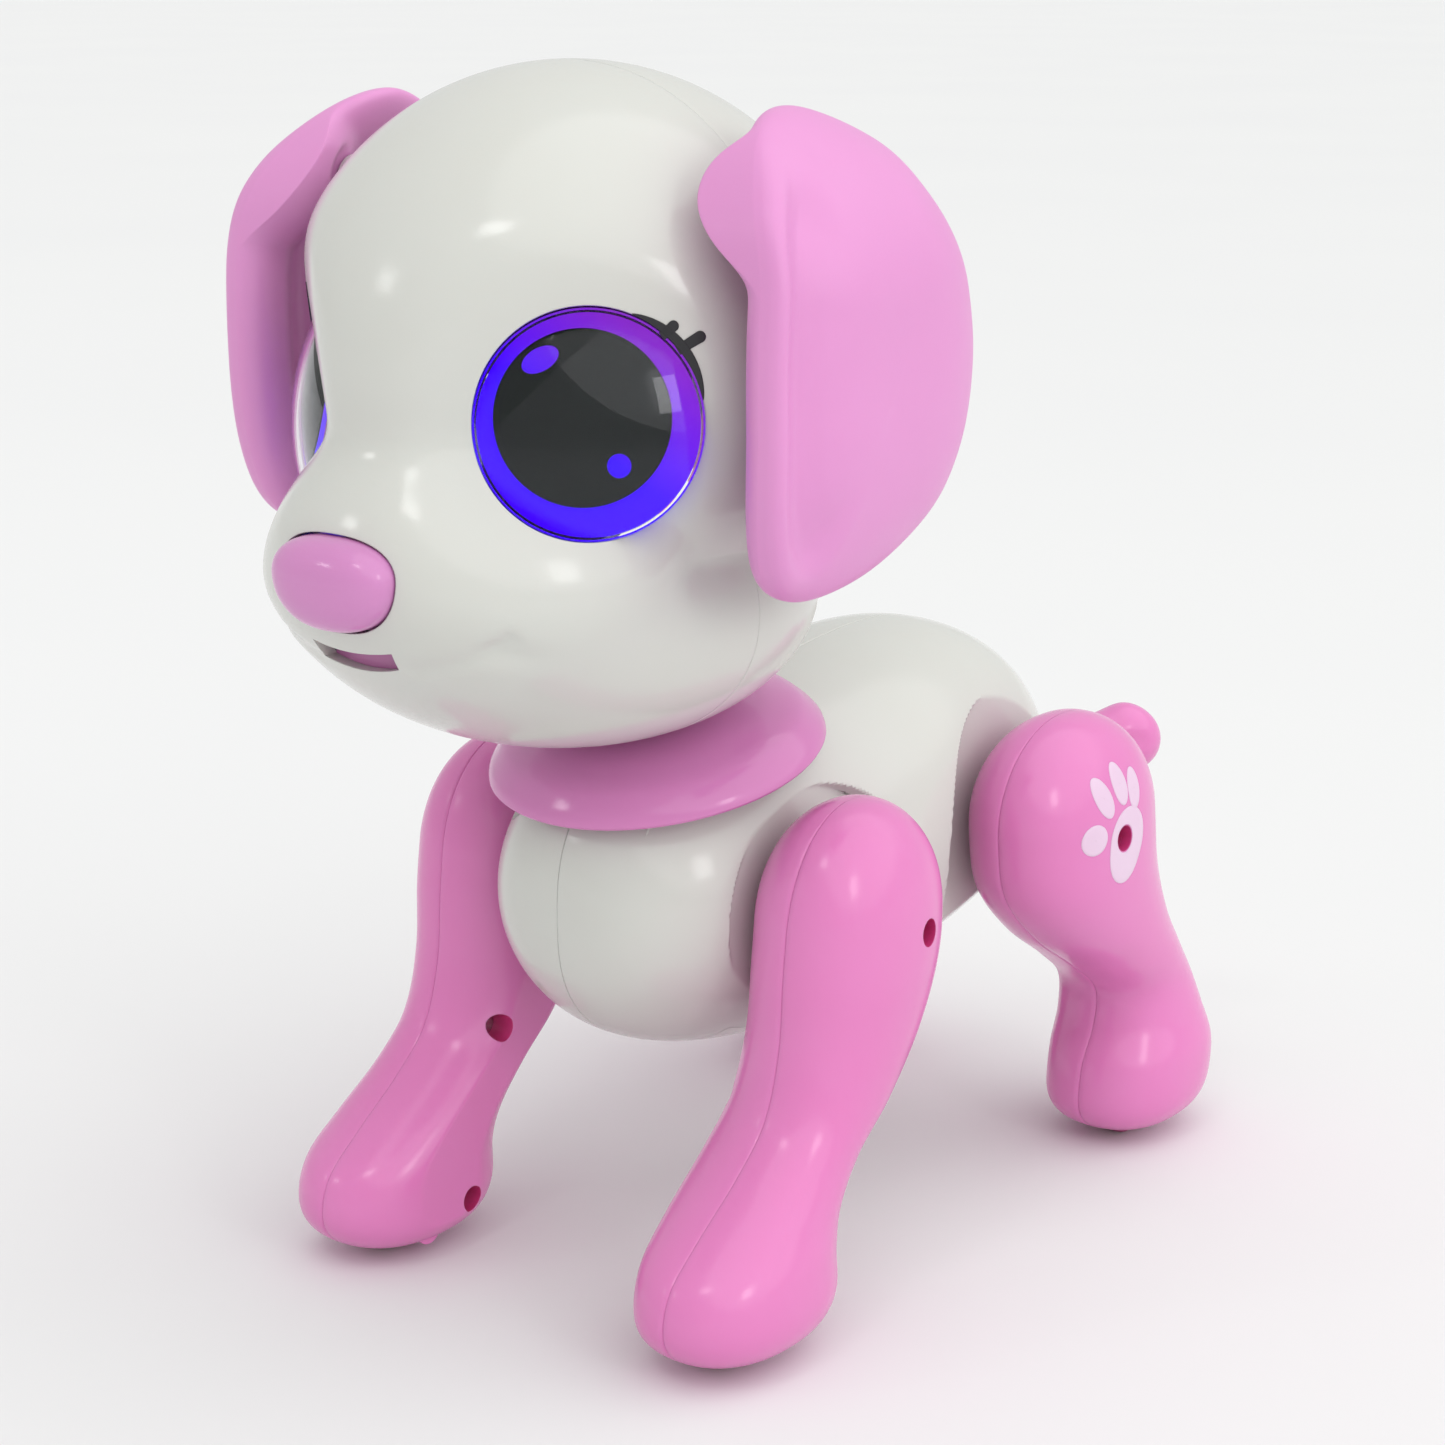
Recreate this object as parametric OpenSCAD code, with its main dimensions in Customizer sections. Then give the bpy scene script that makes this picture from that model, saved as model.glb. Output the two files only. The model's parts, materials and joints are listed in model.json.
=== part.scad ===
// Walking robot puppy: a hollow two-tone plastic toy on four swinging legs, with a motor and
// gear train inside. +Z is up, the nose points along -Y, +X is the puppy's left. The origin is
// on the floor under the middle of the whole outline. Millimetres.

/* [Stance] */
// Height of the front hip axles above the floor
front_hip_z = 64.5; // [64:0.5:65]
// Height of the rear hip axles above the floor
rear_hip_z = 66; // [65.5:0.5:66.5]
// Front hip axle, along the body
front_hip_y = -14.5; // [-15:0.5:-14]
// Rear hip axle, along the body
rear_hip_y = 46.5; // [46:0.5:47]
// Plane where each leg's two shells meet
leg_seam_x = 37; // [36.5:0.5:37.5]
// Inner face of a leg, beside the body
leg_inner_x = 24.5; // [24.5:0.1:25]

/* [Body] */
// Front of the chest
chest_y = -49.5; // [-51:0.5:-48]
// Back of the rump
rump_y = 76.5; // [75:0.5:78]
// Largest half width of the body
body_r = 31; // [30:0.5:32]
// Wall of every moulded shell
wall = 2; // [1.6:0.1:2.4]

/* [Head] */
// Height of the head's middle
head_z = 150; // [149:0.5:151]
// Head's middle, along the body
head_y = -43.5; // [-44.5:0.5:-42.5]
// Neck axle, along the body
neck_y = -25.5; // [-26:0.5:-25]
// Radius of each eye lens
eye_r = 17; // [16.5:0.1:17.2]
// How far an eye looks out to the side, in degrees
eye_turn = 40; // [39:0.5:41]
// How far an eye looks up, in degrees
eye_lift = 10; // [9:0.5:11]

/* [Drive] */
// Teeth of each large gear
big_teeth = 36; // [34:1:36]
// Teeth of each small gear
small_teeth = 10; // [10:1:12]
// Throw of the crank pins
crank_throw = 5; // [4:0.5:5.5]
// Radial running clearance of shafts in their bores
fit = 0.06; // [0.03:0.01:0.1]

/* [Hidden] */
white = [0.93, 0.94, 0.90];
pink = [0.92, 0.55, 0.80];
lilac = [0.86, 0.55, 0.82];
deep_pink = [0.72, 0.20, 0.50];
steel = [0.72, 0.73, 0.75];
cream = [0.90, 0.87, 0.74];
violet = [0.32, 0.10, 0.85];
dark = [0.10, 0.10, 0.12];
green = [0.10, 0.42, 0.22];
clear = [0.85, 0.88, 0.95];
round_n = 32;

// ---- Small helpers -------------------------------------------------------------------------
function unit(v) = v / norm(v);
function clamp01(t) = min(1, max(0, t));
function smooth(a, b, x) = let (t = clamp01((x - a) / (b - a))) t * t * (3 - 2 * t);
// Superellipse: half width at share s of the half length, for exponent p.
function bulge(s, p) = pow(max(0, 1 - pow(min(1, abs(s)), p)), 1 / p);
function spow(v, e) = sign(v) * pow(abs(v), e);
function flip(p) = [-p[0], p[1], p[2]];

// Smooth curve through rows of numbers, where the first number of each row is the parameter.
function hermite(p0, p1, m0, m1, h, t) =
    (2 * t * t * t - 3 * t * t + 1) * p0 + (t * t * t - 2 * t * t + t) * h * m0
    + (-2 * t * t * t + 3 * t * t) * p1 + (t * t * t - t * t) * h * m1;
function slope(rows, i) = let (a = max(0, i - 1), b = min(len(rows) - 1, i + 1))
    (rows[b] - rows[a]) / (rows[b][0] - rows[a][0]);
function find_row(rows, x, i = 0) = i >= len(rows) - 2 || x < rows[i + 1][0] ? i : find_row(rows, x, i + 1);
function curve(rows, x) = let (
    u = min(rows[len(rows) - 1][0], max(rows[0][0], x)),
    i = find_row(rows, u), h = rows[i + 1][0] - rows[i][0])
    hermite(rows[i], rows[i + 1], slope(rows, i), slope(rows, i + 1), h, (u - rows[i][0]) / h);

// Round bar along X between two stations, at height z and length position y.
module bar_x(x0, x1, y, z, r) {
    translate([min(x0, x1), y, z]) rotate([0, 90, 0]) cylinder(r = r, h = abs(x1 - x0), $fn = round_n);
}
module bar_y(x, y0, y1, z, r) {
    translate([x, y1, z]) rotate([90, 0, 0]) cylinder(r = r, h = y1 - y0, $fn = round_n);
}
module bar_z(x, y, z0, z1, r) {
    translate([x, y, z0]) cylinder(r = r, h = z1 - z0, $fn = round_n);
}
// Block between two opposite corners.
module block(a, b) {
    lo = [for (k = [0 : 2]) min(a[k], b[k])];
    hi = [for (k = [0 : 2]) max(a[k], b[k])];
    translate(lo) cube(hi - lo);
}
module tube_x(x0, x1, y, z, r, bore) {
    difference() {
        bar_x(x0, x1, y, z, r);
        bar_x(x0 - sign(x1 - x0), x1 + sign(x1 - x0), y, z, bore);
    }
}
// Self-tapping screw: pan head at x0, point towards x1.
module screw_x(x0, x1, y, z) {
    bar_x(x0, x0 + sign(x1 - x0) * screw_head_h, y, z, screw_head_r);
    bar_x(x0 + sign(x1 - x0) * screw_head_h, x1, y, z, screw_r);
}
screw_r = 1.1;
screw_head_r = 2.3;
screw_head_h = 1.5;
sink_r = 2.7;

// ---- Thin shells ---------------------------------------------------------------------------
// Half of a closed skin, from pole to pole, with a wall measured towards a core point.
// skin(s, t) gives a point for s from pole to pole and t from seam to seam.
module half_shell(skin, core, rows, cols, thick) {
    w = cols + 1;
    outer = [skin(0, 0.5), for (i = [1 : rows - 1], j = [0 : cols]) skin(i / rows, j / cols), skin(1, 0.5)];
    share = [0, for (i = [1 : rows - 1], j = [0 : cols]) i / rows, 1];
    inner = [for (k = [0 : len(outer) - 1]) outer[k] + thick * unit(core(share[k]) - outer[k])];
    n = len(outer);
    last = n - 1;
    at = function (i, j) 1 + (i - 1) * w + j;
    patch = [
        for (j = [0 : cols - 1]) [0, at(1, j + 1), at(1, j)],
        for (j = [0 : cols - 1]) [last, at(rows - 1, j), at(rows - 1, j + 1)],
        for (i = [1 : rows - 2], j = [0 : cols - 1]) each [
            [at(i, j), at(i, j + 1), at(i + 1, j + 1)],
            [at(i, j), at(i + 1, j + 1), at(i + 1, j)]]];
    loop = [0, for (i = [1 : rows - 1]) at(i, 0), last, for (i = [rows - 1 : -1 : 1]) at(i, cols)];
    rim = [for (k = [0 : len(loop) - 1]) let (a = loop[k], b = loop[(k + 1) % len(loop)]) each [
        [a, b, b + n], [a, b + n, a + n]]];
    polyhedron(concat(outer, inner), concat(
        patch, [for (f = patch) [f[2] + n, f[1] + n, f[0] + n]], rim));
}

// A whole closed skin, round in t.
module closed_skin(skin, rows, cols) {
    points = [skin(0, 0), for (i = [1 : rows - 1], j = [0 : cols - 1]) skin(i / rows, j / cols), skin(1, 0)];
    last = len(points) - 1;
    at = function (i, j) 1 + (i - 1) * cols + j % cols;
    polyhedron(points, [
        for (j = [0 : cols - 1]) [0, at(1, j + 1), at(1, j)],
        for (j = [0 : cols - 1]) [last, at(rows - 1, j), at(rows - 1, j + 1)],
        for (i = [1 : rows - 2], j = [0 : cols - 1]) each [
            [at(i, j), at(i, j + 1), at(i + 1, j + 1)],
            [at(i, j), at(i + 1, j + 1), at(i + 1, j)]]]);
}

// ---- Body ----------------------------------------------------------------------------------
body_mid_y = (chest_y + rump_y) / 2;
body_half_y = (rump_y - chest_y) / 2;
body_low_z = 66;
body_rise = 5;
body_squareness = 2.7;
function body_axis_z(y) = body_low_z + body_rise * smooth(body_mid_y - 25, body_mid_y + 35, y);
// Flat leg pockets hold the side of the body back near each hip: y, z, radius of the flat.
pocket_x = leg_inner_x - 1;
pockets = [[front_hip_y, front_hip_z, 19.5], [rear_hip_y, rear_hip_z, 23.5]];
function side_limit(y, z) = min([for (p = pockets)
    pocket_x + 40 * smooth(p[2], p[2] + 10, norm([y - p[0], z - p[1]]))]);
function body_y(s) = chest_y + (rump_y - chest_y) * (1 - cos(180 * s)) / 2;
function body_skin(s, t) = let (
    y = body_y(s),
    r = body_r * bulge((y - body_mid_y) / body_half_y, body_squareness),
    a = 180 * t - 90,
    z = body_axis_z(y) + r * sin(a))
    [min(r * cos(a), side_limit(y, z)), y, z];
function body_core(s) = let (y = min(rump_y - 30, max(chest_y + 30, body_y(s)))) [0, y, body_axis_z(y)];
module body_half(side) {
    half_shell(side > 0 ? function (s, t) body_skin(s, t) : function (s, t) flip(body_skin(s, 1 - t)),
        function (s) body_core(s), 24, 14, wall);
}

// Gearbox feet: y, z, and how far out each one stands from the body's wall.
gearbox_feet = [[-8, 85, 19.8], [55, 75, 21.8]];
// Body screws: y, z, and how far each boss reaches out from the seam.
body_screw_at = [[-39, 80, 12.8], [-2, 92.9, 11], [60, 87, 15], [57, 52, 13]];
tray_feet = [[-12, 50], [14, 50]];
tail_axis = [70, 72];
door_box = [[-16.5, -25, 30], [16.5, 29, 45.2]];
door_gap = 0.15;
switch_box = [[-2.6, 34, 30], [2.6, 44, 48]];
bearing_r = 10;
neck_r = 7;
tail_slot_r = 12;
tail_slot = [67, 77];

module body_shell(side) {
    color(white) difference() {
        union() {
            body_half(side);
            for (f = gearbox_feet)
                bar_x(side > 0 ? plate_left_x[1] : plate_right_x[0], side * f[2], f[0], f[1], 3.4);
            for (p = body_screw_at) bar_x(0, side * p[2], p[0], p[1], 3.3);
            for (f = tray_feet) bar_x(side * tray_x, side * 22, f[0], f[1], 3);
            for (z = [tail_slot[0] - 3.4, tail_slot[1] + 0.4])
                block([0, tail_axis[0] - 5, z], [side * 5, rump_y - 2.4, z + 3]);
        }
        for (h = [[front_hip_y, front_hip_z], [rear_hip_y, rear_hip_z]])
            bar_x(side * 15, side * 30, h[0], h[1], bush_r);
        bar_z(0, neck_y, 70, 100, bearing_r);
        bar_z(0, tail_axis[0], 60, 84, tail_pin_r);
        intersection() {
            bar_z(0, tail_axis[0], tail_slot[0], tail_slot[1], tail_slot_r);
            block([-20, tail_axis[0] - 1, 60], [20, 100, 84]);
        }
        block(door_box[0] - [door_gap, door_gap, 0], door_box[1] + [door_gap, door_gap, 0]);
        block(switch_box[0], switch_box[1]);
        for (p = body_screw_at) {
            bar_x(side * -0.1, side * 13, p[0], p[1], screw_r);
            if (side < 0) bar_x(screw_head_h - 8, -40, p[0], p[1], sink_r);
        }
    }
}
module body_shell_left() { body_shell(1); }
module body_shell_right() { body_shell(-1); }

module battery_door() {
    color(white) difference() {
        intersection() {
            union() { body_half(1); body_half(-1); }
            block(door_box[0], door_box[1]);
        }
        bar_z(0, door_screw_y, 30, 50, screw_r + 0.1);
        bar_z(0, door_screw_y, 30, 39.6, sink_r);
    }
}
door_screw_y = 26;

module body_screws() {
    color(steel) {
        for (p = body_screw_at) screw_x(-8, 12, p[0], p[1]);
        bar_z(0, door_screw_y, 38.6, 39.6, screw_head_r);
        bar_z(0, door_screw_y, 39.6, 48, screw_r);
    }
}

// ---- Power ---------------------------------------------------------------------------------
cell_r = 5.25;
cell_pitch = 10.6;
cell_z = 47.6;
cell_y = [-21.5, 22.5];
tray_x = 18.2;
tray_top = 53;
board_z = 60;
module battery_cells() {
    color([0.25, 0.45, 0.30]) for (k = [-1 : 1]) {
        bar_y(k * cell_pitch, cell_y[0], cell_y[1] - 1.2, cell_z, cell_r);
        bar_y(k * cell_pitch, cell_y[1] - 1.2, cell_y[1], cell_z, 1.9);
    }
}
module battery_contacts() {
    color(steel) for (k = [-1 : 1]) {
        block([k * cell_pitch - 4, cell_y[0] - 0.5, cell_z - 3.2], [k * cell_pitch + 4, cell_y[0], cell_z + 4]);
        block([k * cell_pitch - 4, cell_y[1], cell_z - 3.2], [k * cell_pitch + 4, cell_y[1] + 0.5, cell_z + 4]);
    }
}
module battery_tray() {
    front = cell_y[0] - 0.5;
    back = cell_y[1] + 0.5;
    color(cream) difference() {
        union() {
            block([-tray_x, front, tray_top], [tray_x, back, tray_top + 1.2]);
            for (s = [-1, 1]) block([s * (tray_x - 1.2), front, 47], [s * tray_x, back, tray_top]);
            block([-tray_x, front - 1.4, 47], [tray_x, front, tray_top + 1.2]);
            block([-tray_x, back, 47], [tray_x, back + 1.4, tray_top + 1.2]);
            block([-9, -31.5, 52], [9, front - 1.4, 53.5]);
            block([-9, -31.5, 50], [9, -30, 66]);
            for (x = [-11, 11], y = [-20, -4]) bar_z(x, y, tray_top + 1, board_z, 1.8);
            bar_z(0, door_screw_y, 42, 50, 2.6);
            block([-2, back + 1, 47], [2, door_screw_y + 1, 50]);
        }
        bar_z(0, door_screw_y, 41, 48.2, screw_r);
    }
}
module main_board() {
    color(green) block([-14, -26, board_z], [14, -1, board_z + 1.2]);
    color(dark) block([-4, -18, board_z + 1.2], [4, -10, board_z + 2.6]);
}
module speaker() {
    color(dark) {
        translate([0, -31.5, 58]) rotate([90, 0, 0]) cylinder(r1 = 7, r2 = 12, h = 4, $fn = round_n);
        bar_y(0, -37.3, -35.5, 58, 12.5);
    }
}
module switch_knob() {
    color(dark) {
        block([-2.2, 34.4, 38.6], [2.2, 39.4, 44.8]);
        block([-4.2, 33, 44.8], [4.2, 41, 46]);
    }
}

// ---- Gear train ----------------------------------------------------------------------------
// Axles run along X; stations are [y, z].
gear_m = 0.6;
centre_gap = gear_m * (big_teeth + small_teeth) / 2;
function away(p, angle) = p + centre_gap * [cos(angle), sin(angle)];
crank_at = [15, 66];
second_at = away(crank_at, 110);
first_at = away(second_at, -4);
pinion_at = away(first_at, 15);
axle_r = 1.5;
pin_r = 1;
plate_left_x = [12, 13.5];
plate_right_x = [0, 1.5];
disc_x = [14.5, 16.6];
disc_r = 8;
crank_pin_x = 17.1;

// Spur gear blank outline: straight-flanked teeth with rounded-off running clearance.
function gear_outline(n) = let (pitch = gear_m * n / 2,
    tip = pitch + 0.85 * gear_m, root = pitch - 1.25 * gear_m, step = 360 / n,
    half_root = step * (n < 20 ? 0.30 : 0.285), half_pitch = step * 0.212,
    half_tip = step * (n < 20 ? 0.085 : 0.10))
    [for (k = [0 : n - 1]) each [for (q = [[root, -half_root], [pitch, -half_pitch], [tip, -half_tip],
        [tip, half_tip], [pitch, half_pitch], [root, half_root]])
        let (a = k * step + q[1]) [q[0] * cos(a), q[0] * sin(a)]]];
// The gear's teeth turn about X; phase 0 puts a tooth along +Y.
module gear(n, x0, x1, at, phase) {
    translate([x0, at[0], at[1]]) rotate([phase, 0, 0])
        multmatrix([[0, 0, 1, 0], [1, 0, 0, 0], [0, 1, 0, 0], [0, 0, 0, 1]])
            linear_extrude(x1 - x0) polygon(gear_outline(n));
}
// Phase that lets a driven gear of n teeth mesh with a driver of m teeth at the given phase, when the
// driven gear lies at this angle from the driver.
function mesh_phase(n, m, phase, angle) =
    angle + 180 + 180 / n - (phase - angle) * m / n;
pinion_phase = 0;
first_phase = mesh_phase(big_teeth, small_teeth, pinion_phase, 15 + 180);
second_phase = mesh_phase(big_teeth, small_teeth, first_phase, -4 + 180);
crank_phase = mesh_phase(big_teeth, small_teeth, second_phase, 110 + 180);

module drive_motor() {
    color(steel) difference() {
        union() {
            intersection() {
                bar_x(-19.5, 0, pinion_at[0], pinion_at[1], 10);
                block([-20, pinion_at[0] - 11, pinion_at[1] - 7.5], [1, pinion_at[0] + 11, pinion_at[1] + 7.5]);
            }
            bar_x(0, 1.5, pinion_at[0], pinion_at[1], 3);
        }
        bar_x(-10, 2, pinion_at[0], pinion_at[1], pin_r + fit);
    }
}
module motor_pinion() {
    color(cream) gear(small_teeth, 2, 5, pinion_at, pinion_phase);
    color(steel) bar_x(-9.7, 5.4, pinion_at[0], pinion_at[1], pin_r);
}
module compound_gear(at, big_x, small_x, phase) {
    color(cream) difference() {
        union() {
            gear(big_teeth, big_x[0], big_x[1], at, phase);
            gear(small_teeth, small_x[0], small_x[1], at, phase);
        }
        bar_x(big_x[0] - 1, small_x[1] + 1, at[0], at[1], pin_r + fit);
    }
}
module first_gear() { compound_gear(first_at, [2.5, 5], [4.9, 8.2], first_phase); }
module second_gear() { compound_gear(second_at, [5.5, 8], [7.9, 11.5], second_phase); }
module crank_gear() {
    color(cream) difference() {
        gear(big_teeth, 8.5, 11, crank_at, crank_phase);
        bar_x(8, 12, crank_at[0], crank_at[1], axle_r);
    }
}
module crank_axle() { color(steel) bar_x(-disc_x[1], disc_x[1], crank_at[0], crank_at[1], axle_r); }
// The two crank pins are half a turn apart and end just short of the rockers' slots.
module crank_discs() {
    color(cream) for (s = [-1, 1]) difference() {
        union() {
            bar_x(s * disc_x[0], s * disc_x[1], crank_at[0], crank_at[1], disc_r);
            bar_x(s * disc_x[1], s * crank_pin_x, crank_at[0] + s * crank_throw, crank_at[1], axle_r);
        }
        bar_x(s * (disc_x[0] - 1), s * (disc_x[1] + 1), crank_at[0], crank_at[1], axle_r);
    }
}
module plate_outline() {
    hull() {
        for (p = gearbox_feet) translate([p[0], p[1]]) circle(r = 4.5, $fn = 24);
        translate(crank_at) circle(r = 5, $fn = 24);
        translate(pinion_at) circle(r = 6, $fn = 24);
    }
}
module gear_plate(xs) {
    multmatrix([[0, 0, 1, xs[0]], [1, 0, 0, 0], [0, 1, 0, 0], [0, 0, 0, 1]])
        linear_extrude(xs[1] - xs[0]) plate_outline();
}
module gear_plate_left() {
    color(cream) difference() {
        gear_plate(plate_left_x);
        bar_x(11, 15, crank_at[0], crank_at[1], axle_r + fit);
        for (p = [first_at, second_at]) bar_x(11, 15, p[0], p[1], pin_r);
    }
}
module gear_plate_right() {
    color(cream) difference() {
        union() {
            gear_plate(plate_right_x);
            bar_x(-13.8, 0.5, crank_at[0], crank_at[1], 4);
        }
        bar_x(-15, 3, crank_at[0], crank_at[1], axle_r + fit);
        bar_x(-1, 3, pinion_at[0], pinion_at[1], 3);
        for (p = [first_at, second_at]) bar_x(-1, 3, p[0], p[1], pin_r);
    }
}
module gear_pins() {
    color(steel) for (p = [first_at, second_at]) bar_x(plate_right_x[0], plate_left_x[1], p[0], p[1], pin_r);
    color(cream) for (p = gearbox_feet) bar_x(plate_right_x[1], plate_left_x[0], p[0], p[1], 2.6);
}

// ---- Legs ----------------------------------------------------------------------------------
bush_r = 5;
shaft_r = 3;
rocker_x = [17.4, 21];
// Each row: height, middle along Y from the hip, half depth along Y, half width towards the outside.
front_rows = [
    [0, -35.6, 16.5, 12.5], [10, -35.6, 18.8, 14], [17, -34.6, 17.8, 13.5], [23, -30, 15.3, 12],
    [30, -22.2, 13.4, 10.8], [37, -14.4, 13.9, 11], [48, -8.2, 16.2, 12], [60, -5.4, 17.9, 13],
    [72, -4.4, 17.6, 12.6], [86, -4.2, 17, 12]];
rear_rows = [
    [0, 26, 15.2, 12.5], [9, 26.8, 17.6, 14], [17, 27.8, 17.6, 14], [24, 28.4, 14.4, 12],
    [31, 26.6, 12.6, 10.8], [38, 19.6, 14.4, 11.5], [46, 10.6, 17.8, 12.6], [56, 3.2, 21, 13.4],
    [66, 1, 21.8, 13.4], [87, -0.2, 21.2, 12.6]];
leg_foot = 1.8;
roller_r = 5.5;
roller_x = [34, 40];
// A leg's numbers: rows, hip y, hip z, roller y from the hip, shell screws (y from the hip, z, and the
// X span of the bosses), the rocker's layer along X, and which way its arm points.
front_leg = [front_rows, front_hip_y, front_hip_z, -38.5, [[-21.1, 37.4, 28, 44.5], [-30, 8.6, 27, 47.5]],
    [17.4, 18.9], 1];
rear_leg = [rear_rows, rear_hip_y, rear_hip_z, 23.5, [[13.5, 44, 26, 48], [32.2, 8.6, 27, 47.5]],
    [19.3, 20.8], -1];

function leg_z(rows, s) = let (top = rows[len(rows) - 1][0]) top + (leg_foot - top) * (1 - cos(180 * s)) / 2;
function leg_skin(rows, hip_y, s, t, out) = let (
    top = rows[len(rows) - 1][0],
    z = leg_z(rows, s),
    row = curve(rows, z),
    cap = min(bulge(max(0, (z - top + 19) / 19), 2.1), bulge(max(0, (12 - z) / (12 - leg_foot)), 3)),
    a = 180 * t - 90,
    e = 2 / 2.25,
    inward = leg_seam_x - leg_inner_x,
    wide = out > 0 ? row[3] : inward + 0.8)
    [leg_seam_x + out * min(cap * wide * spow(cos(a), e), out > 0 ? 100 : inward),
     hip_y + row[1] + out * cap * row[2] * spow(sin(a), e), z];
function leg_core(rows, hip_y, s) = let (top = rows[len(rows) - 1][0], z = leg_z(rows, s),
    row = curve(rows, z)) [leg_seam_x, hip_y + row[1], min(top - 17, max(leg_foot + 12, z))];
module leg_half(leg, side, out) {
    half_shell(
        side > 0 ? function (s, t) leg_skin(leg[0], leg[1], s, t, out)
            : function (s, t) flip(leg_skin(leg[0], leg[1], s, 1 - t, out)),
        side > 0 ? function (s) leg_core(leg[0], leg[1], s) : function (s) flip(leg_core(leg[0], leg[1], s)),
        18, 8, wall);
}
module leg_outer_shell(leg, side) {
    color(pink) difference() {
        union() {
            leg_half(leg, side, 1);
            bar_x(side * 36.2, side * 48.4, leg[1], leg[2], 4.6);
            for (p = leg[4]) bar_x(side * leg_seam_x, side * p[3], leg[1] + p[0], p[1], 2.6);
            bar_x(side * (roller_x[1] + 0.6), side * 45, leg[1] + leg[3], roller_r, 2.9);
        }
        bar_x(side * (43.5 - screw_head_h), side * 56, leg[1], leg[2], sink_r);
        bar_x(side * 30, side * 60, leg[1], leg[2], screw_r);
        for (p = leg[4]) bar_x(side * 30, side * 43, leg[1] + p[0], p[1], screw_r);
        bar_x(side * 30, side * (roller_x[1] + 0.5), leg[1] + leg[3], roller_r, roller_r + 0.5);
        bar_x(side * 30, side * 44, leg[1] + leg[3], roller_r, axle_r + fit);
    }
}
module leg_inner_shell(leg, side) {
    color(pink) difference() {
        union() {
            leg_half(leg, side, -1);
            for (p = leg[4]) bar_x(side * p[2], side * leg_seam_x, leg[1] + p[0], p[1], 3.3);
            bar_x(side * 27, side * (roller_x[0] - 0.6), leg[1] + leg[3], roller_r, 2.9);
        }
        bar_x(side * 20, side * 30, leg[1], leg[2], shaft_r);
        for (p = leg[4]) {
            bar_x(side * 20, side * (29 + screw_head_h), leg[1] + p[0], p[1], sink_r);
            bar_x(side * 20, side * 40, leg[1] + p[0], p[1], screw_r);
        }
        bar_x(side * (roller_x[0] - 0.5), side * 40, leg[1] + leg[3], roller_r, roller_r + 0.5);
        bar_x(side * 29, side * 40, leg[1] + leg[3], roller_r, axle_r + fit);
    }
}
// Hip shaft, hub and slotted arm that the crank pin swings.
module rocker(leg, side) {
    tip = leg[6] * 38;
    slot = [leg[6] * 24.5, leg[6] * 35];
    hub_top = leg[2] - crank_at[1];
    color(cream) difference() {
        union() {
            bar_x(side * rocker_x[0], side * 36.2, leg[1], leg[2], shaft_r);
            bar_x(side * rocker_x[0], side * rocker_x[1], leg[1], leg[2], 5.5);
            block([side * leg[5][0], leg[1], leg[2] - 3.6], [side * leg[5][1], leg[1] + tip, leg[2] + 3.6]);
        }
        block([side * 15, leg[1] + slot[0], leg[2] - 1.9], [side * 22, leg[1] + slot[1], leg[2] + 1.9]);
        bar_x(side * 30, side * 40, leg[1], leg[2], screw_r);
    }
}
module leg_screws(leg, side) {
    color(steel) {
        screw_x(side * 43.5, side * 32, leg[1], leg[2]);
        for (p = leg[4]) screw_x(side * 29, side * 42, leg[1] + p[0], p[1]);
    }
}
module roller(leg, side) {
    color(deep_pink) {
        bar_x(side * roller_x[0], side * roller_x[1], leg[1] + leg[3], roller_r, roller_r);
        bar_x(side * 29.4, side * 43.6, leg[1] + leg[3], roller_r, axle_r);
    }
}
module hip_bushes() {
    color(cream) for (s = [-1, 1], h = [[front_hip_y, front_hip_z], [rear_hip_y, rear_hip_z]])
        tube_x(s * 21.3, s * 24.2, h[0], h[1], bush_r, shaft_r + fit);
}
module front_left_outer_shell() { leg_outer_shell(front_leg, 1); }
module front_left_inner_shell() { leg_inner_shell(front_leg, 1); }
module front_left_rocker() { rocker(front_leg, 1); }
module front_left_screws() { leg_screws(front_leg, 1); }
module front_left_roller() { roller(front_leg, 1); }
module front_right_outer_shell() { leg_outer_shell(front_leg, -1); }
module front_right_inner_shell() { leg_inner_shell(front_leg, -1); }
module front_right_rocker() { rocker(front_leg, -1); }
module front_right_screws() { leg_screws(front_leg, -1); }
module front_right_roller() { roller(front_leg, -1); }
module rear_left_outer_shell() { leg_outer_shell(rear_leg, 1); }
module rear_left_inner_shell() { leg_inner_shell(rear_leg, 1); }
module rear_left_rocker() { rocker(rear_leg, 1); }
module rear_left_screws() { leg_screws(rear_leg, 1); }
module rear_left_roller() { roller(rear_leg, 1); }
module rear_right_outer_shell() { leg_outer_shell(rear_leg, -1); }
module rear_right_inner_shell() { leg_inner_shell(rear_leg, -1); }
module rear_right_rocker() { rocker(rear_leg, -1); }
module rear_right_screws() { leg_screws(rear_leg, -1); }
module rear_right_roller() { roller(rear_leg, -1); }

// ---- Tail ----------------------------------------------------------------------------------
tail_pin_r = 1.5;
tail_rest = 37.5;
tail_tip = 41.3;
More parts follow.
